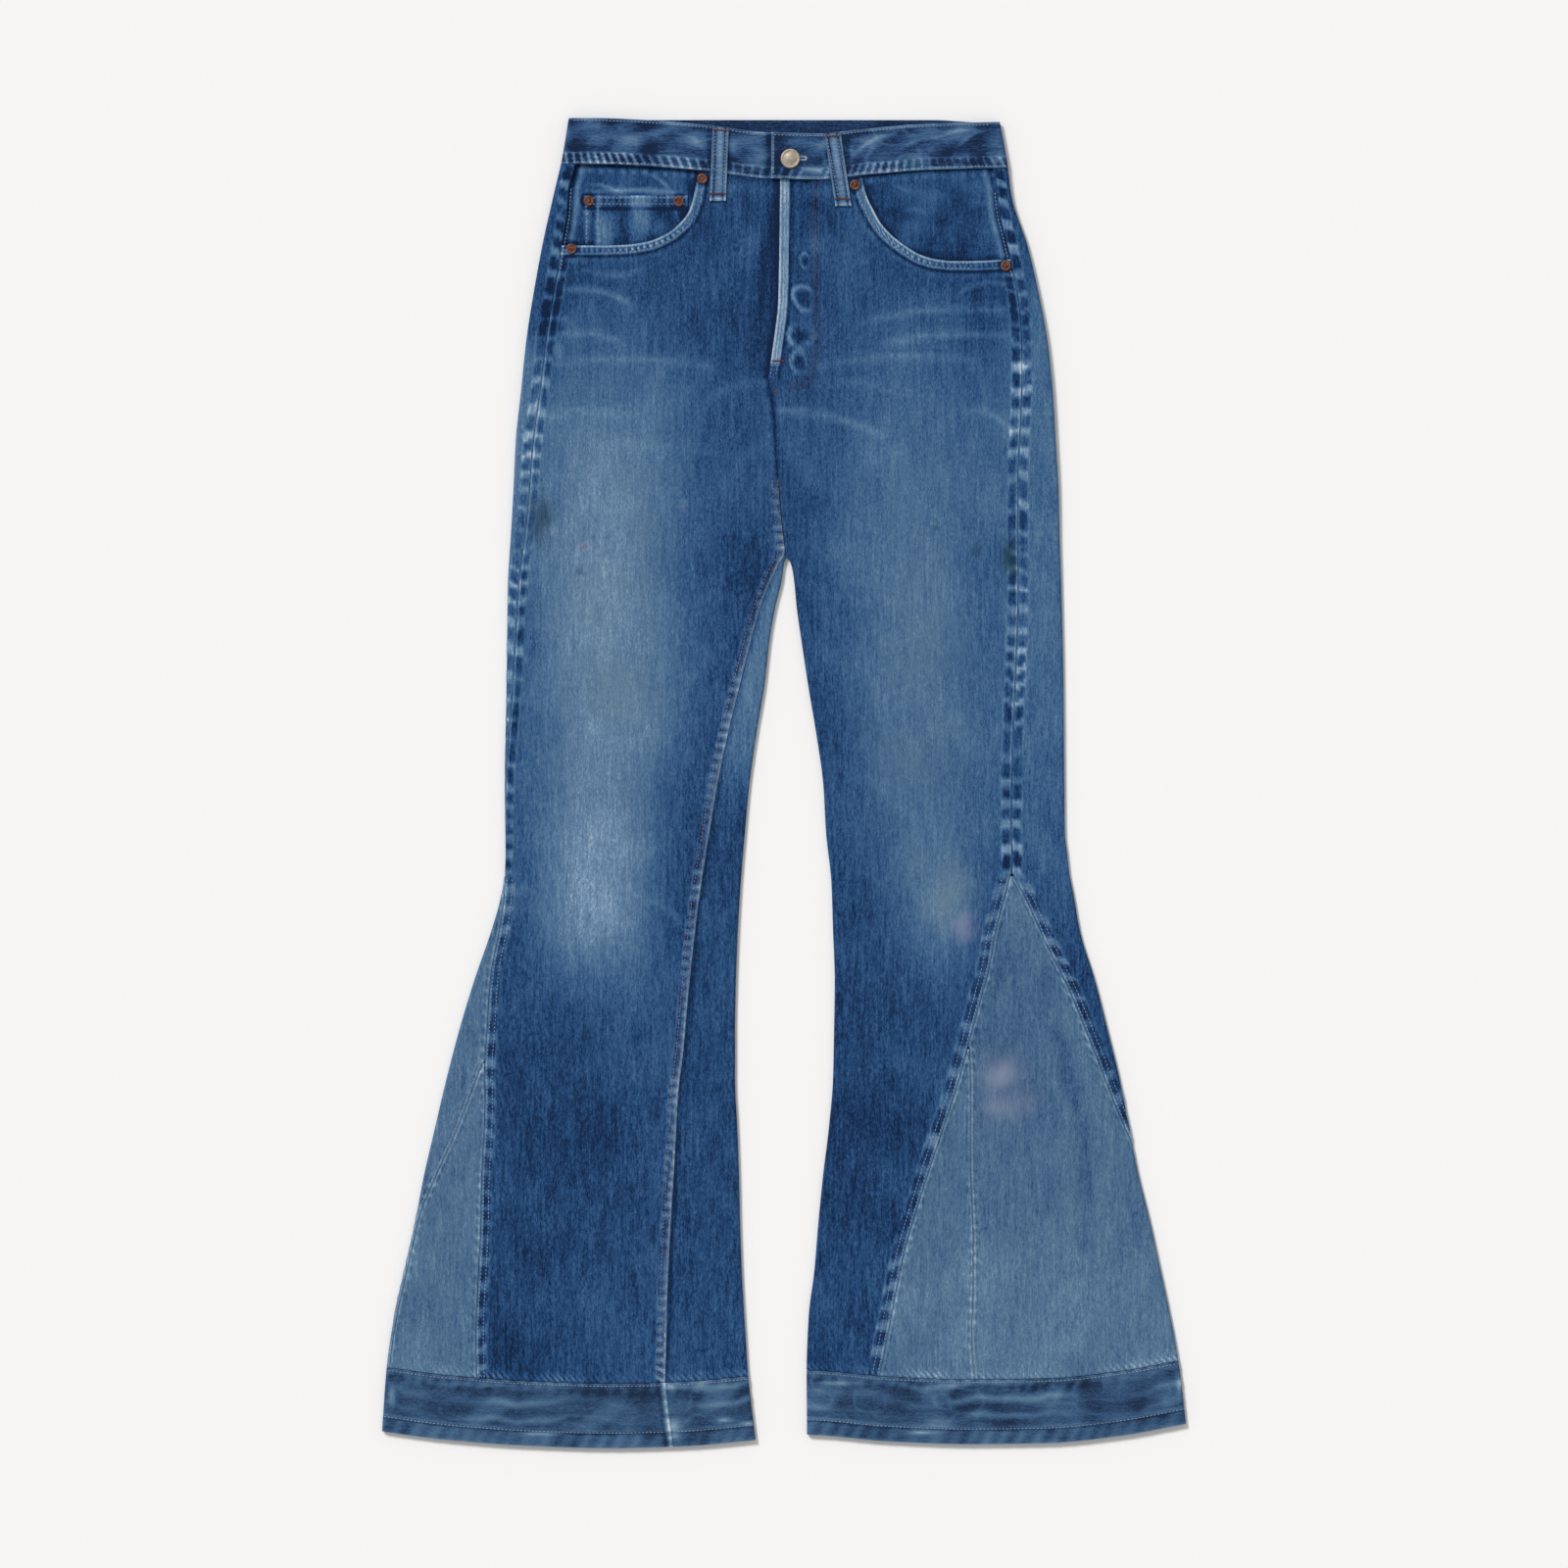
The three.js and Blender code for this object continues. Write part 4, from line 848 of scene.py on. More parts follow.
def side_seam(look, panel, leg, distance, y, level):
    """Puckers beside the side seam and, lower down, beside the gusset."""
    on_leg = ease(*INTO_GUSSET, level)
    look.fade += 0.38 * hill(distance, 0.7, 0.9) * (1 - on_leg)
    for form, where in zip(SIDE_LADDERS[panel, leg.name], (on_leg, 1 - on_leg)):
        look.ladder(distance, y, *form, where=where)


def front_look(leg, x, y, level, low, high, up):
    look = Look(x.shape, 0.20)
    look.fade += leg_fade(x, y, RIGHT_FADE if leg is RIGHT else LEFT_FADE)
    look.fade += 1.35 * crease_fade(x, y, CREASES) + 0.06 * wander(x, y, 3, 26) + 0.035 * wander(x, y, 4, 9)
    look.relief += 0.22 * wander(x, y, 8, 26) * (up > FACES_UP)
    side_seam(look, "front", leg, low, y, level)
    look.fade += 0.34 * hill(low, 1.0, 0.9) * ease(-60, 60, level)
    if leg is RIGHT:
        on_inseam = ease(CROTCH, CROTCH - 30, level)
        look.ladder(high, y, 8.6, 8.5, 2.0, 0.44, 0.22, where=on_inseam)
        look.fade += (0.24 * hill(high, 3.0, 2.4) + 0.42 * hill(high, 1.0, 0.9)) * on_inseam
    else:
        look.fade += 0.16 * hill(low, 4, 26) * ease(450, 400, level) * ease(-110, -50, level)
    look.hem_ticks(x, level)
    mouth_marks(look, leg, x, y, up)
    fly_marks(look, leg, x, y, level, high)
    rivet_shade_and_rim(look, x, y)
    down = WAIST_SEAM - level
    look.fade += 0.14 * hill(down, 9, 5) * rungs(x, 9, 2) - 0.16 * hill(down, 0, 5)
    shades(look, x, y)
    stains(look, x, y)
    return look


def back_look(leg, x, y, level, low, high, up):
    look = Look(x.shape, 0.22)
    if leg is RIGHT:
        look.fade += 0.40 * ease(400, 360, level) * ease(-40, 60, level)
    else:
        look.fade += (0.34 - 0.16 * ease(200, -40, level)) * ease(470, 400, level) * ease(-150, -60, level)
    shades(look, x, y)
    look.fade += 0.03 * wander(x, y, 13, 30) + 0.02 * wander(x, y, 14, 9)
    look.relief += 0.2 * wander(x, y, 18, 26) * (up > FACES_UP)
    # Painted shadow on the back panel beside the raised inseam, below the crotch
    look.fade += -0.22 * hill(low, 0.6, 2.6) * ease(CROTCH, CROTCH - 30, level)
    side_seam(look, "back", leg, high, y, level)
    look.hem_ticks(x, level)
    look.fade += -0.12 * ease(6, 0, np.abs(level - YOKE_SIDE))
    look.fade += 0.35 * hill(high, 6.0, 3.5) * rungs(y, 13, 8) * ease(440, 470, level)
    return look


GUSSET_FOLD = [(238, -218), (257, -290), (264, -352), (262, -400)]


def gusset_look(leg, x, y, level, low, high, up):
    look = Look(x.shape, 0.54)
    look.fade += 0.09 * wander(x, y, 23, 45) + 0.05 * wander(x, y, 25, 17) + 0.03 * wander(x, y, 24, 8)
    look.relief += 0.25 * wander(x, y, 28, 30) * (up > FACES_UP)
    look.ladder(high, y, 4.5, 9.5, 7.0, 0.22, 0.24)
    look.ladder(low, y, 4.5, 10.5, 9.0, 0.20, 0.22)
    look.fade += 0.30 * (hill(high, 1.2, 1.0) + hill(low, 1.2, 1.0))
    look.hem_ticks(x, level)
    d, _ = polyline_distance(GUSSET_FOLD, x, y)
    look.fade += 0.07 * hill(d, 14, 7) - 0.13 * hill(d, 0, 7)
    look.relief += -0.5 * hill(d, 0, 8) * (up > FACES_UP)
    stains(look, x, y)
    return look


# Small white worn spots on the hem bands: x, y, half width, half height
HEM_SPOTS = [
    (-99, -522, 5, 3), (-96, -556, 6, 5), (-72, -520, 5, 3), (-52, -551, 6, 2), (-31, -554, 7, 2),
    (-95, -565, 4, 3), (48, -519, 16, 1.6), (-340, -530, 3, 8), (343, -520, 3, 10), (120, -562, 12, 1.5),
    (-210, -563, 16, 1.5),
]


def hem_look(leg, x, y, level, low, high, up):
    look = Look(x.shape, 0.16)
    down = HEM_SEAM - level
    drift = 3.4 * np.sin(x / 31 + 1) + 2.1 * np.sin(x / 13.5 + 2) + 0.7 * np.sin(x / 5.1)
    lines = (0.5 + 0.5 * np.sin(2 * math.pi * (down + drift) / 15)) ** 2.5
    body = ease(0.5, 5, down) * ease(44, 39, down)
    size = 0.20 + 0.80 * ease(-0.4, 0.9, wander(x, 1.6 * down, 43, 20))
    look.relief += body * size * 0.5 * lines
    look.fade += body * size * (0.42 * lines - 0.06) + 0.10 * wander(x, 1.4 * down, 41, 9)
    look.fade += body * 0.20 * ease(0.2, 1.0, wander(x / 1.6, 1.5 * down, 44, 6))
    look.fade += 0.17 * body * crackle(x, 1.3 * down, 46, 6.5)
    puckers = rungs(x + 0.3 * down, 11.5, 8) * hill(down, 7.5, 4.5)
    look.fade += -0.18 * puckers + 0.12 * hill(down, 3, 2.5) * rungs(x, 11.5, 5)
    rope = rungs(x + 0.5 * down, 15, 6)
    rim = ease(43, 46, down)
    look.fade += rim * (0.24 * rope + 0.04 + 0.08 * wander(x, down, 47, 9))
    look.fade += 0.36 * hill(down, 41.5, 1.4) * (0.6 + 0.4 * wander(x, down, 45, 16))
    look.fade += -0.16 * hill(down, 44.2, 1.0)
    look.relief += rim * 0.3 * rope
    look.fade += hill(down, 0.6, 1.2) * (0.10 + 0.55 * rungs(x, 13, 3)) + hill(down, 56, 1.3) * 0.18
    for *spot, wide, tall in HEM_SPOTS:
        look.fade += 0.7 * blob(x, y, (*spot, wide, tall, 0)) * (up > 0.5)
    join = high if leg is RIGHT else low
    look.fade += (0.45 + 0.5 * rungs(down, 8, 2)) * hill(join, 1.6, 2.0) - 0.2 * hill(join, 6.0, 1.8)
    return look


BAND_CREASES = [
    # from x, y to x, y, half width, strength
    (61, 545, 92, 563, 1.6, 0.30), (100, 549, 132, 560, 1.6, 0.24), (132, 560, 170, 566, 1.5, 0.24),
    (150, 552, 176, 566, 1.6, 0.30), (30, 552, 60, 548, 2.4, 0.16), (-190, 560, -120, 556, 3, 0.10),
    (-150, 552, -96, 566, 3, 0.12), (-90, 562, -72, 552, 1.8, 0.22), (-48, 556, -22, 560, 3, 0.14),
    (-178, 568, -130, 570, 3, 0.08), (76, 570, 130, 566, 3, 0.10),
]
# Front belt loops: x at the top and at the bottom, and the level of the lower end
LOOPS = {"right": (-54.8, -57.4, 505.0), "left": (42.0, 51.4, 500.6)}


def band_look(x, y, level, tab):
    look = Look(x.shape, 0.22)
    height = level - WAIST_SEAM
    look.fade += 0.06 * wander(x, 2 * height, 31, 22) + 0.08 * wander(x, height, 32, 7)
    look.fade += 0.26 * wander(0.5 * x, height, 34, 3.2) - 0.08 * ease(-90, -120, x)
    lit = 0.62 + 0.22 * ease(-20, -60, x)
    look.ladder(height, x, 10.0, 7.4, 4.0, lit, 0.20, tall=0.5)
    look.fade += 0.44 * hill(height, 0.8, 0.8) + 1.35 * crease_fade(x, y, BAND_CREASES, bow=3)
    look.fade += 0.75 * hill(height, WAIST_TOP - WAIST_SEAM, 1.5) * (0.7 + 0.3 * rungs(x, 23, 2))
    look.fade += -0.12 * hill(height, WAIST_TOP - WAIST_SEAM - 3.6, 1.4)
    look.fade += 0.22 * hill(x, -58, 70) * hill(height, 22, 7) * rungs(x + height, 27, 3)
    # A pale line along the tab's end, and painted shadow that the tab casts on the band beneath it
    look.fade += 0.60 * hill(x, TAB_END + 0.4, 1.6) * tab - 0.22 * hill(x, TAB_END - 2, 3) * (1 - tab)
    # Painted shadow round the waist button
    look.fade += -0.20 * np.exp(-((np.hypot(x - 7, y - 541.5) / 15) ** 4))
    look.fade += 0.22 * crackle(x, 1.5 * height, 36, 6.0)
    clear = 1.0
    for top_x, bottom_x, _ in LOOPS.values():
        clear = clear * (1 - ease(12, 9, np.abs(x - (top_x + bottom_x) / 2)))
    look.fade += -0.14 * (1 - clear)
    look.relief = look.relief * clear * ease(26, 36, np.abs(x - 3)) + 0.10 * wander(x, y, 33, 9) * clear
    return look


def declare(piece, wide, long, rests_on, area=None):
    """Work out the area of a piece's flat cut, which is not stored or used; a rectangle's area need not be
    given.
    """
    area = (wide * long if area is None else area) * MM * MM


def cut_area(x, y):
    """Area of a grid whose rows run across and whose columns run along the cloth."""
    across, down = np.abs(np.diff(x, axis=1)), np.abs(np.diff(y, axis=0))
    return 0.25 * np.sum((across[1:] + across[:-1]) * (down[:, 1:] + down[:, :-1]))


# Pieces that lie flat on or under the others
def flat_piece(name, x, y, top, look):
    outer = np.stack([x, y, top + look.relief], axis=-1)
    inner = np.stack([x, y, top + 0 * x - CLOTH], axis=-1)
    return closed_mesh(name, outer, inner, look)


def between(left, right, low, high, across, along):
    """Grid between two side lines and two end lines, each a number or given at shares from 0 to 1."""
    u = np.linspace(0, 1, across)[None, :]
    v = np.linspace(0, 1, along)[:, None]
    pairs = ((left, v), (right, v), (low, u), (high, u))
    left, right, low, high = (line(share) if callable(line) else line for line, share in pairs)
    return left * (1 - u) + right * u + 0 * v, low * (1 - v) + high * v + 0 * u


def beside(line, distance):
    ahead = np.vstack([line[1:], line[-1:]])
    behind = np.vstack([line[:1], line[:-1]])
    run = ahead - behind
    long = np.hypot(run[:, 0], run[:, 1])[:, None]
    return line + distance * np.stack([run[:, 1], -run[:, 0]], axis=1) / long


FACING_TUCK, FACING_REACH = 6.0, 22.0
COIN = dict(left=-174.0, right=-83.5, top=510.0, bottom=454.0)
SEAM_UNDER = 2 * SEAM + GAP / 2
SHIELD_SIZE, SHIELD_AREA = (46, 185), 7300
PATCH_SIZE, PATCH_AREA = (134, 166), 18900


def waist_seam(x):
    return curved_y(x, WAIST_SEAM + 0 * x, 1) - SEAM_UNDER


FACING_CREASES = [
    # from x, y to x, y, half width, strength
    (-168, 520, -140, 512, 1.8, 0.26), (-140, 515, -92, 512, 1.8, 0.24), (-120, 530, -98, 514, 1.6, 0.26),
    (-172, 513, -100, 511.5, 1.6, 0.22),
]


def facing_piece(leg, top):
    side = leg.sign
    curve = beside(leg.mouth[:-1], side * FACING_REACH)
    bottom = curve[-1, 1]
    u = np.linspace(0, 1, 90)[None, :]
    v = np.linspace(0, 1, 56)[:, None]
    guide = bottom + (WAIST_SEAM - bottom) * v
    outside = side * (leg.outer(guide) - leg.outseam(guide) + FACING_TUCK)
    inside = np.interp(guide, curve[::-1, 1], curve[::-1, 0])
    x = outside * (1 - u) + inside * u
    y = bottom + (waist_seam(x) - bottom) * v
    look = Look(x.shape, 0.21)
    look.fade += 0.10 * wander(x, y, 51, 12) + 0.08 * wander(x, y, 52, 5)
    look.fade += 0.12 * crackle(x, y, 55, 8.0)
    look.relief += 0.12 * wander(x, y, 53, 14)
    # Painted shadow from the front panel's raised lip, darkest beside the mouth's edge
    d, _ = polyline_distance(MOUTHS[leg.name], x, y)
    look.fade += -0.34 * np.exp(-d / 4) + 0.08 * wander(x, y, 54, 3.5)
    rivet_shade_and_rim(look, x, y)
    seam = waist_seam(x) - y
    look.fade += 0.42 * hill(seam, 5.0, 2.2) * rungs(x, 9, 2) - 0.14 * hill(seam, 0, 2)
    edge = side * (outside - x) - FACING_TUCK
    look.fade += 0.42 * hill(edge, 5.5, 2.4) - 0.26 * hill(edge, 1.0, 2.0)
    if leg is RIGHT:
        look.fade += 1.7 * crease_fade(x, y, FACING_CREASES, bow=2)
    else:
        look.fade += 0.06 * blob(x, y, (120, 488, 26, 14, -10))
    piece = flat_piece(f"facing_{leg.name}", x, y, top, look)
    declare(piece, np.ptp(x), np.ptp(y), [f"back_{leg.name}"], cut_area(x, y))
    finish_piece(piece, FACING, f"pocket_facing_{leg.name}")


def coin_piece():
    x, y = between(COIN["left"], COIN["right"], COIN["bottom"], COIN["top"], 92, 58)
    look = Look(x.shape, 0.27)
    look.fade += 0.14 * wander(x, y, 61, 9) + 0.30 * wander(2.0 * x, 0.7 * y, 62, 7)
    look.fade += 0.24 * crackle(x, y, 64, 6.0)
    down, inside = COIN["top"] - y, x - COIN["left"]
    look.relief += 0.12 * wander(x, y, 63, 10) + 0.35 * ease(10.2, 9.0, down)
    look.fade += 0.50 * ease(10.2, 9.0, down) * (0.1 + 0.9 * rungs(x, 5.6, 3)) - 0.36 * hill(down, 11.6, 1.4)
    look.fade += 0.30 * hill(down, 1.2, 1.0)
    pale = hill(inside, 3.0, 1.8) + 0.8 * hill(inside, 12.6, 1.6)
    look.fade += 0.50 * pale * (0.4 + 0.6 * rungs(y, 5.4, 5)) - 0.26 * hill(inside, 8.0, 2.0)
    look.fade += crease_fade(x, y, [(-94, 502, -84, 478, 1.4, 0.3)], bow=-3)
    rivet_shade_and_rim(look, x, y)
    # Painted shadow from the front panel's raised lip, darkest beside the mouth's edge
    d, _ = polyline_distance(MOUTHS["right"], x, y)
    look.fade += -0.26 * np.exp(-d / 4)
    piece = flat_piece("coin", x, y, LAYER_TOP, look)
    declare(piece, COIN["right"] - COIN["left"], COIN["top"] - COIN["bottom"], ["facing_right"])
    return finish_piece(piece, INDIGO, "coin_pocket")


def shield_piece():
    x, y = between(lambda v: np.interp(v, [0, 0.39, 1], [-24, -18, -16]),
                   lambda v: np.interp(v, [0, 0.18, 1], [4, 22, 22]),
                   FLY_END - 6, lambda u: waist_seam(-16 + 38 * u), 24, 60)
    piece = flat_piece("shield", x, y, LAYER_TOP, Look(x.shape, 0.12))
    declare(piece, *SHIELD_SIZE, ["back_left"], SHIELD_AREA)
    finish_piece(piece, FACING, "fly_shield")


def back_pocket_piece(leg):
    x, y = between(lambda v: 46 - 8 * v, lambda v: 166 + 6 * v,
                   lambda u: np.interp(u, [0, 0.5, 1], [315, 292, 315]), lambda u: 458 - 6 * u, 40, 44)
    look = Look(x.shape, 0.34)
    look.fade += 0.06 * wander(x, y, 71, 16)
    piece = flat_piece(f"patch_pocket_{leg.name}", leg.sign * x, y, CLOTH, look)
    declare(piece, *PATCH_SIZE, ["floor"], PATCH_AREA)
    finish_piece(piece, INDIGO, f"back_pocket_{leg.name}")


def loop_look(across, down, long):
    look = Look(across.shape, 0.50)
    edge = np.abs(across)
    look.fade += 0.34 * hill(edge, 6.3, 0.9) - 0.50 * hill(edge, 4.2, 0.9) + 0.18 * hill(edge, 0.4, 1.8)
    look.fade += 0.12 * wander(across * 3, down, 81, 6) + 0.10 * rungs(down, 5.0, 4) * hill(edge, 0, 3)
    look.relief += 0.22 * hill(edge, 6.0, 1.2) + 0.18 * hill(edge, 0, 2.0)
    look.fade += 0.35 * hill(down, long - 1.5, 2.0) - 0.35 * hill(down, long - 5.5, 1.0)
    look.fade += -0.12 * hill(down, 2.5, 2.5)
    return look


LOOP_CLOTH, LOOP_WIDTH = 1.6, 14.0
# Back belt loops: x of the middle
BACK_LOOPS = {"right": -118.0, "centre": 0.0, "left": 118.0}
BACK_LOOP_BOTTOM = 512.0


def loop_piece(side):
    top_x, bottom_x, bottom = LOOPS[side]
    across = np.linspace(-LOOP_WIDTH / 2, LOOP_WIDTH / 2, 25)[None, :]
    share = np.linspace(0, 1, 64)[:, None]
    crown = curved_y(top_x + across, WAIST_TOP + 0 * across, 1) - 0.5
    seam = curved_y(top_x + across, WAIST_SEAM + 0 * across, 1)
    y = crown + (bottom - crown) * share
    x = top_x + across + (bottom_x - top_x) * share
    z = HIP_FRONT + GAP + (WAIST_FRONT - HIP_FRONT) * ease(seam - 2.2, seam + 0.8, y)
    look = loop_look(across + 0 * share, crown - y, crown - bottom)
    outer = np.stack([x, y, z + LOOP_CLOTH + look.relief - 0.2], axis=-1)
    inner = np.stack([x, y, z], axis=-1)
    piece = closed_mesh(f"loop_{side}", outer, inner, look)
    declare(piece, LOOP_WIDTH, WAIST_TOP - bottom, ["waistband_strip"])
    return finish_piece(piece, BAND, f"belt_loop_front_{side}")


def back_loop_piece(side, middle):
    half = LOOP_WIDTH / 2
    x, y = between(middle - half, middle + half, BACK_LOOP_BOTTOM, WAIST_TOP - 0.5, 15, 40)
    look = loop_look(x - middle, WAIST_TOP - y, WAIST_TOP - BACK_LOOP_BOTTOM)
    look.relief *= 0
    piece = flat_piece(f"loop_of_back_{side}", x, y, CLOTH, look)
    declare(piece, LOOP_WIDTH, WAIST_TOP - BACK_LOOP_BOTTOM, ["floor"])
    finish_piece(piece, BAND, f"belt_loop_back_{side}")


# Waistband: one strip from its lower end round the back to its upper end
WAIST_RADIUS = (WAIST_FRONT - HIP_BACK) / 2
BAND_LONG = 800.0


def band_path(y):
    """Points and outward directions along the waistband, at the levels of a column."""
    right, left = RIGHT.outer(y) - WAIST_RADIUS, LEFT.outer(y) - WAIST_RADIUS
    parts = []

    def run(start, end, step, z, up):
        count = int(np.ceil(np.max(np.abs(end - start)) / step)) + 1
        x = start + (end - start) * np.linspace(0, 1, count)[None, :]
        parts.append([x, z + 0 * x, 0 * x, up + 0 * x])

    def roll(middle, first, last):
        turn = np.linspace(first, last, 11)[None, 1:-1] + 0 * y
        z = HIP_BACK + WAIST_RADIUS + WAIST_RADIUS * np.sin(turn)
        parts.append([middle + WAIST_RADIUS * np.cos(turn), z, np.cos(turn), np.sin(turn)])

    run(UNDER_END + 0 * y, -right, 1.7, WAIST_FRONT, 1)
    roll(-right, math.pi / 2, math.pi * 1.5)
    run(-right, left, 7.0, HIP_BACK, -1)
    roll(left, -math.pi / 2, math.pi / 2)
    run(left, TAB_DOWN + 0 * y, 1.7, WAIST_FRONT, 1)
    run(TAB_FLAT + 0 * y, TAB_END + 0 * y, 1.4, TAB_FRONT, 1)
    return [np.concatenate([p[k] for p in parts], axis=1) for k in range(4)]


def band_piece():
    level = steps(WAIST_TOP, WAIST_SEAM + SEAM, 1.25)[:, None]
    x, z, nx, nz = band_path(level)
    y = curved_y(x, level + 0 * x, (1 + nz) / 2)
    look = band_look(x, y, level + 0 * x, z > WAIST_FRONT + GAP)
    bare, way = np.stack([x, y, z], axis=-1), np.stack([nx, 0 * nx, nz], axis=-1)
    outer = bare + way * (look.relief * (nz > 0.5))[..., None]
    inside = 0.04 + 0.06 * wander(x, y, 35, 12) + 0.12 * hill(level, WAIST_TOP, 1.5)
    piece = closed_mesh("waistband_strip", outer, bare - way * WAIST_CLOTH, look, inside)
    declare(piece, BAND_LONG, WAIST_TOP - WAIST_SEAM, ["front_left", "floor"])
    return finish_piece(piece, BAND, "waistband")


# Sewing: short stitches laid on the cloth
class Threads:
    """Stitches of one thread, gathered into one mesh."""

    SIDES = 5
    RINGS = ((-0.5, 0.35, -0.25), (0.0, 1.0, 0.3), (0.5, 0.35, -0.25))

    def __init__(self, name, material):
        self.name, self.material = name, material
        self.points, self.faces, self.count = [], [], 0

    def lay(self, middle, along, up, long, wide):
        """Stitches at the given middles; along and up are their directions."""
        along = along / np.linalg.norm(along, axis=1, keepdims=True)
        side = np.cross(up, along)
        side = side / np.linalg.norm(side, axis=1, keepdims=True)
        up = np.cross(along, side)
        n, rings = self.SIDES, []
        for place, size, lift in self.RINGS:
            core = middle + along * (place * long) + up * (lift * wide)
            for turn in np.arange(n) * 2 * math.pi / n:
                rings.append(core + wide / 2 * size * (side * math.cos(turn) + 0.8 * up * math.sin(turn)))
        first = self.count + np.arange(len(middle))[:, None] * len(rings)
        self.points.append(np.stack(rings, axis=1).reshape(-1, 3))
        self.count += len(middle) * len(rings)
        last = len(rings) - n
        faces = [list(range(n - 1, -1, -1)), list(range(last, last + n))]
        for ring in range(0, last, n):
            for k in range(n):
                a, b = ring + k, ring + (k + 1) % n
                faces.append([a, b, b + n, a + n])
        for face in faces:
            self.faces.extend((first + face).tolist())

    def sew(self, points, up, pitch=3.3, long=2.6, wide=0.75):
        """A row of stitches along a line of points, with the cloth's outward direction at each."""
        reach = reach_along(points)
        places = np.arange(pitch / 2, reach[-1], pitch)
        along = sampled(points, reach, places + 0.8) - sampled(points, reach, places - 0.8)
        self.lay(sampled(points, reach, places), along, sampled(up, reach, places), long, wide)

    def tack(self, x, y, wide, turn=0.0):
        """A dense bar of short stitches across a loop or a seam, on the cloth below it."""
        a = math.radians(turn)
        offsets = np.arange(-wide / 2, wide / 2 + 0.01, TACK_PITCH)
        middle = np.array([drop(x + o * math.cos(a), y + o * math.sin(a))[0] for o in offsets])
        middle[:, 2] = middle[:, 2].max()
        along = np.tile([-math.sin(a), math.cos(a), 0.0], (len(offsets), 1))
        along[1::2, 0] += 0.22
        self.lay(middle, along, np.tile([0.0, 0.0, 1.0], (len(offsets), 1)), 2.3, 0.8)

    def build(self):
        mesh = bpy.data.meshes.new(self.name)
        mesh.from_pydata((np.concatenate(self.points) * MM).tolist(), [], self.faces)
        mesh.shade_smooth()
        piece = linked(self.name, mesh)
        piece.data.materials.append(self.material)
        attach(piece, "root")


trees = []


def drop(x, y):
    """The highest place of the cloth at x and y, and its outward direction."""
    best, way = Vector((x, y, 0)), Vector((0, 0, 1))
    for tree in trees:
        hit, normal, _, _ = tree.ray_cast(Vector((x * MM, y * MM, 0.1)), Vector((0, 0, -1)))
        if hit is not None and hit.z / MM > best.z:
            best, way = hit / MM, normal
    return np.array(best), np.array(way)


def dropped(line):
    """A line of places laid on the cloth: its points and the outward directions there."""
    reach = reach_along(line)
    places = np.linspace(0, reach[-1], int(reach[-1] / DROP_STEP) + 2)
    return np.transpose([drop(*place) for place in sampled(line, reach, places)], (1, 0, 2))


def seam_line(sheet, start, end, from_low=None, from_high=None):
    """A line on a sheet at a distance from one of its side edges, between two levels."""
    level = steps(start, end, LINE_STEP)
    _, low, high = sheet.section(level)
    return sheet.surface(level, low + from_low if from_high is None else high - from_high)[:2]


def hem_line(sheet, level):
    """A line round a hem band at a level."""
    _, (low,), (high,) = sheet.section(np.full(1, level))
    s = np.arange(low + 1, high - 1, LINE_STEP)
    return sheet.surface(np.full(len(s), level), s)[:2]


def turned(name, profile, x, y, base, sides, *finish):
    """Round metal trim: a profile of radius and height turned about its own upright axis."""
    points, faces = [(x, y, base + profile[0][1]), (x, y, base + profile[-1][1])], []
    for radius, height in profile[1:-1]:
        for turn in np.arange(sides) * 2 * math.pi / sides:
            points.append((x + radius * math.cos(turn), y + radius * math.sin(turn), base + height))
    top = len(points) - sides
    for k in range(sides):
        after = (k + 1) % sides
        faces += [(0, 2 + after, 2 + k), (1, top + k, top + after)]
        for a in range(2, top, sides):
            faces.append((a + k, a + after, a + sides + after, a + sides + k))
    mesh = bpy.data.meshes.new(name)
    mesh.from_pydata((np.array(points) * MM).tolist(), [], faces)
    mesh.shade_smooth()
    mesh.set_sharp_from_angle(angle=math.radians(40))
    return finish_piece(linked(name, mesh), *finish)


def make_cut(name, sheet, level, rows, spacing, rests_on, material, node, **grid):
    """A sheet's piece; the size of its flat cut is worked out but not kept."""
    y, s = sheet.grid(level, rows, spacing, **grid)
    outer, way, look, bare = sheet.surface(y, s)
    piece = closed_mesh(name, outer, bare - way * sheet.cloth, look)
    declare(piece, np.max(s[:, -1] - s[:, 0]), np.ptp(y), rests_on, cut_area(s, y))
    return finish_piece(piece, material, node)


# The garment, piece by piece
sheets, shown = {}, []


def to_hem(start, step):
    """Rows from a level down to the hem band, closer ones last."""
    rows = steps(start, HEM_SEAM + CLOSE_ROWS, step)
    return np.concatenate([rows[:-1], steps(HEM_SEAM + CLOSE_ROWS, HEM_SEAM + SEAM, CLOSE_STEP)])


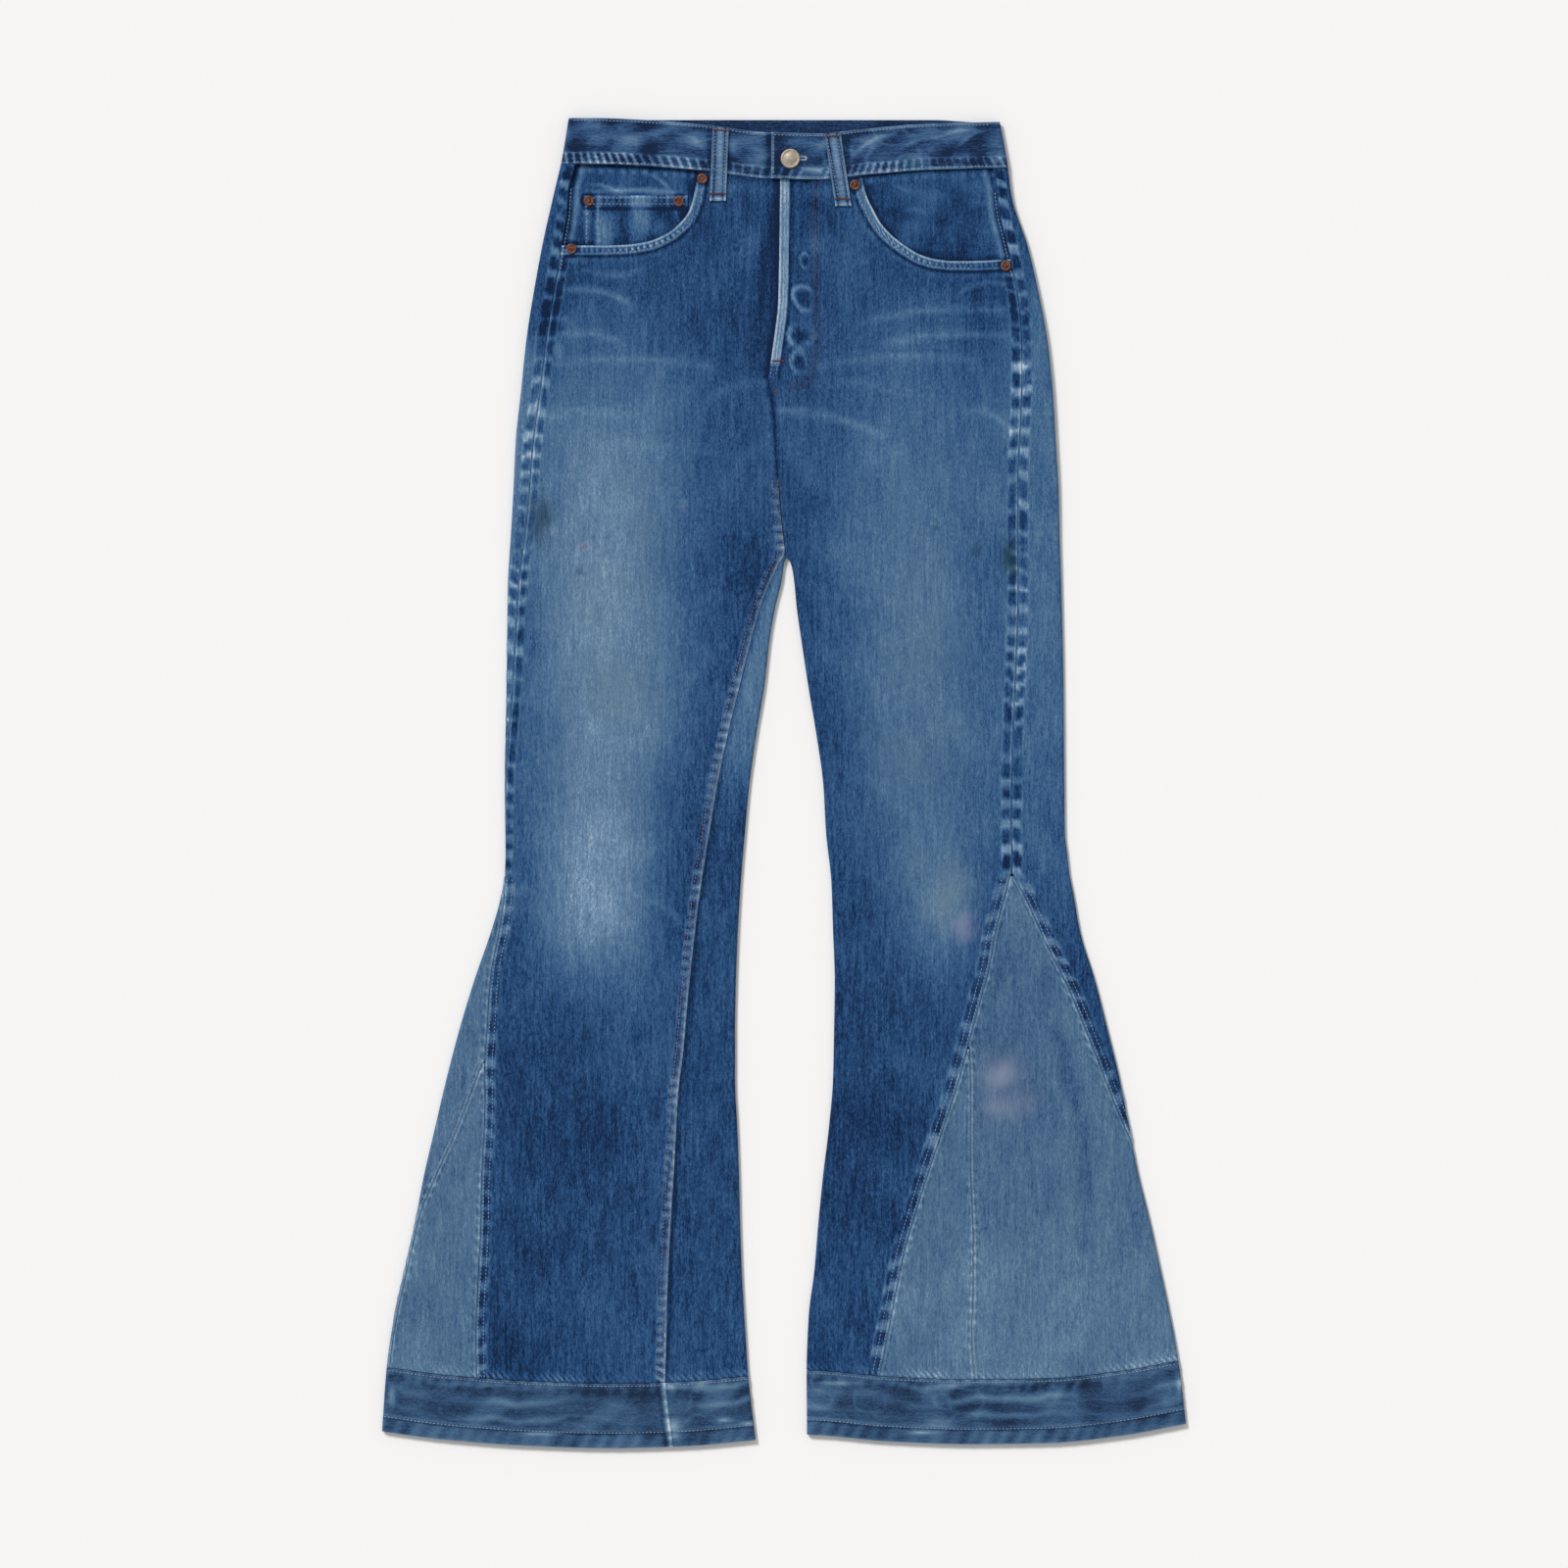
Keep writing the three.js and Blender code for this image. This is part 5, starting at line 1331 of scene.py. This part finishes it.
for leg in (RIGHT, LEFT):
    side = leg.name
    front, back = Sheet(leg, "front", front_look), Sheet(leg, "back", back_look)
    outer, inner = Sheet(leg, "outer_gusset", gusset_look), Sheet(leg, "inner_gusset", gusset_look)
    hem = Sheet(leg, "hem", hem_look, HEM_CLOTH)
    sheets[side] = dict(front=front, back=back, gusset=outer, hem=hem)
    make_cut(f"back_{side}", back, back_rows, to_hem(PANEL_TOP, FLARE_STEP), 2.4, ["floor"],
             INDIGO, f"back_panel_{side}")
    shown.append(make_cut(f"yoke_of_back_{side}", back, yoke_rows, np.linspace(1, 0, 30), 2.4, ["floor"],
                          INDIGO, f"yoke_{side}"))
    rows = np.concatenate([steps(PANEL_TOP, MOUTH_KEEP, 1.6), to_hem(MOUTH_KEEP - 4, 4.4)])
    shown.append(make_cut(f"front_{side}", front, mouth_rows(front), rows, 2.0, [f"back_{side}"],
                          INDIGO, f"front_panel_{side}", seam=0.95, reach=10.0))
    make_cut(f"gusset_outside_{side}", outer, level_rows, to_hem(GUSSET_TOP, FLARE_STEP), 2.2, ["floor"],
             GUSSET, f"gusset_outer_{side}")
    make_cut(f"gusset_inside_{side}", inner, level_rows, to_hem(leg.split_top, FLARE_STEP), 2.2, ["floor"],
             GUSSET, f"gusset_inner_{side}")
    make_cut(f"hem_{side}", hem, level_rows, steps(HEM_SEAM + SEAM - HEM_GAP, HEM_EDGE, 1.5), 1.7, ["floor"],
             HEM, f"hem_band_{side}")
    facing_piece(leg, LAYER_NEXT if leg is RIGHT else LAYER_TOP)
    back_pocket_piece(leg)

shown.append(coin_piece())
shield_piece()
for side in LOOPS:
    shown.append(loop_piece(side))
for side, middle in BACK_LOOPS.items():
    back_loop_piece(side, middle)
shown.append(band_piece())

bpy.context.view_layer.update()
shape = bpy.context.evaluated_depsgraph_get()
for piece in shown:
    trees.append(BVHTree.FromObject(piece, shape))

pale = Threads("pale_stitches", PALE_THREAD)
tan = Threads("tan_stitches", TAN_THREAD)
brown = Threads("brown_stitches", BROWN_THREAD)
STITCH_NEAR, STITCH_FAR = 1.8, 6.3
SEAM_END = HEM_SEAM + 1
for leg in (RIGHT, LEFT):
    kind = sheets[leg.name]
    mouth = rounded(leg.mouth[:-1])
    pale.sew(*seam_line(kind["front"], 515, 440, from_low=2.0))
    for distance in (STITCH_NEAR, STITCH_FAR):
        pale.sew(*dropped(beside(mouth, leg.sign * distance)[1:]), pitch=3.6)
        pale.sew(*seam_line(kind["front"], GUSSET_TOP - 2, SEAM_END, from_low=distance))
        pale.sew(*seam_line(kind["back"], GUSSET_TOP - 6, SEAM_END, from_high=distance))
    pale.sew(*seam_line(kind["gusset"], leg.split_top, SEAM_END, from_high=STITCH_NEAR))
    for level in (HEM_SEAM - 2.5, HEM_SEAM - 43.0):
        pale.sew(*hem_line(kind["hem"], level))
for distance in (STITCH_NEAR, STITCH_FAR):
    tan.sew(*seam_line(sheets["right"]["front"], CROTCH - 8, SEAM_END, from_high=distance))
    pale.sew(*seam_line(sheets["left"]["front"], WAIST_SEAM - 2, FLY_END + 2, from_high=distance))

# The fly's curved double row, and tacks at its end
for inset in (0.0, 4.2):
    curve = [(30.4 - inset, 522), (30.4 - inset, 374), (27.5 - 0.9 * inset, 358 + 0.5 * inset),
             (18 - 0.6 * inset, 345 + inset), (4, 340 + inset)]
    brown.sew(*dropped(rounded(curve, 3.0)), pitch=2.9, long=2.3, wide=1.0)
brown.tack(-5.0, 366.5, 11.0)
brown.tack(-6.0, 340.0, 6.0, turn=60)

# Waistband, coin pocket and loops
BAND_X = 183.0
for height in (WAIST_SEAM + 2.0, WAIST_TOP - 2.2):
    for start, end in ((-BAND_X, TAB_END - 1), (TAB_END + 2, BAND_X)):
        x = np.arange(start, end, 4)
        pale.sew(*dropped(np.stack([x, curved_y(x, height, 1)], axis=1)), pitch=3.1, long=2.4)
tab_end = [(TAB_END + 2.0, float(curved_y(TAB_END, level, 1))) for level in (WAIST_TOP - 3, WAIST_SEAM + 3)]
pale.sew(*dropped(tab_end))
for inset in (2.2, 7.4):
    pale.sew(*dropped([(COIN["left"] + 4, COIN["top"] - inset), (-86, COIN["top"] - inset)]), pitch=3.4)
for inset in (2.6, 12.8):
    pale.sew(*dropped([(COIN["left"] + inset, COIN["top"] - 8), (COIN["left"] + inset, 468)]), pitch=3.4)
for top_x, bottom_x, bottom in LOOPS.values():
    crown = float(curved_y(top_x, WAIST_TOP, 1))
    for offset in (-4.6, 4.6):
        line = [(top_x + offset, crown - 5), (bottom_x + offset, bottom + 8)]
        pale.sew(*dropped(line), pitch=3.0, wide=0.6)
    brown.tack(top_x + 0.3, crown - 3.2, 13.0)
    brown.tack(bottom_x - 0.4, bottom + 6.2, 13.5)

# Buttonhole: close stitches round a slit from the button towards the wearer's left
HOLE_START, HOLE_END, HOLE_Y, HOLE_HALF = 13.0, 18.0, 541.8, 1.3
ring = []
for k in range(30):
    turn = math.pi * (k / 29 - 0.5)
    ring.append((HOLE_END + HOLE_HALF * math.cos(turn), HOLE_Y + HOLE_HALF * math.sin(turn)))
straight = np.arange(HOLE_START, HOLE_END, 0.55)
ring += [(x, HOLE_Y + HOLE_HALF) for x in straight] + [(x, HOLE_Y - HOLE_HALF) for x in straight]
spots = np.array([drop(*p)[0] for p in ring])
aims = spots - np.array([[min(p[0], HOLE_END), HOLE_Y, s[2]] for p, s in zip(ring, spots)])
aims[:, 2] = 0
pale.lay(spots, aims, np.tile([0.0, 0.0, 1.0], (len(spots), 1)), 1.9, 0.6)
for threads in (pale, tan, brown):
    threads.build()

# Rivets and the waist button
RIVET = [(0, 0), (4.3, 0), (4.5, 0.2), (4.5, 0.55), (4.1, 1.0), (3.5, 1.15), (2.9, 1.0), (2.4, 0.5),
         (1.7, 0.45), (1.4, 1.2), (1.1, 1.55), (0.5, 1.6), (0, 1.55)]
for name, (x, y, base) in RIVETS.items():
    turned(f"copper_{name}", RIVET, x, y, base, 28, COPPER, f"rivet_{name}", "rivet_copper")
HEAD = TAB_FRONT - WAIST_FRONT
BUTTON = [(0, 0), (3, 0), (3, HEAD), (8.1, HEAD), (8.4, HEAD + 0.3), (8.4, HEAD + 0.8), (8.1, HEAD + 1.3),
          (7.5, HEAD + 1.6), (6.9, HEAD + 1.5), (6.4, HEAD + 1.2), (5.6, HEAD + 1.3), (4.2, HEAD + 1.75),
          (2.8, HEAD + 2.1), (1.4, HEAD + 2.35), (0, HEAD + 2.4)]
turned("button", BUTTON, 5.5, 541.5, WAIST_FRONT + GAP, 40, BRASS, "waist_button", "button_brass")

# Floor, light and camera
FLOOR_REACH = 6.0
FLOOR_COLOUR = (0.93, 0.915, 0.905, 1)
SKY_STRENGTH, SUN_STRENGTH = 0.5, 2.3
SUN_SPREAD, SUN_TILT = math.radians(14), math.radians(-34)
corners = [(x * FLOOR_REACH, y * FLOOR_REACH, 0) for x, y in ((-1, -1), (1, -1), (1, 1), (-1, 1))]
floor_mesh = bpy.data.meshes.new("floor")
floor_mesh.from_pydata(corners, [], [(0, 1, 2, 3)])
floor = linked("floor", floor_mesh)
paint = Paint("floor")
paint.put(paint.shader, {"Base Color": FLOOR_COLOUR, "Roughness": 0.95, "Specular IOR Level": 0.0})
floor_mesh.materials.append(paint.material)

world = bpy.data.worlds.new("studio")
bpy.context.scene.world = world
world.use_nodes = True
world.node_tree.nodes["Background"].inputs["Color"].default_value = (1.0, 1.0, 1.0, 1)
world.node_tree.nodes["Background"].inputs["Strength"].default_value = SKY_STRENGTH

sun = bpy.data.lights.new("window", "SUN")
sun.energy = SUN_STRENGTH
sun.angle = SUN_SPREAD
linked("window", sun).rotation_euler = (SUN_TILT, SUN_TILT, 0)
bpy.context.scene.view_settings.view_transform = "Standard"

PICTURE_WIDTH, CAMERA_HEIGHT = 1.36, 6.0
camera = bpy.data.cameras.new("camera")
camera.sensor_width = 36
camera.lens = camera.sensor_width * CAMERA_HEIGHT / PICTURE_WIDTH
camera.clip_end = 50
camera_object = linked("camera", camera)
camera_object.location = (0, 0, CAMERA_HEIGHT)
bpy.context.scene.camera = camera_object
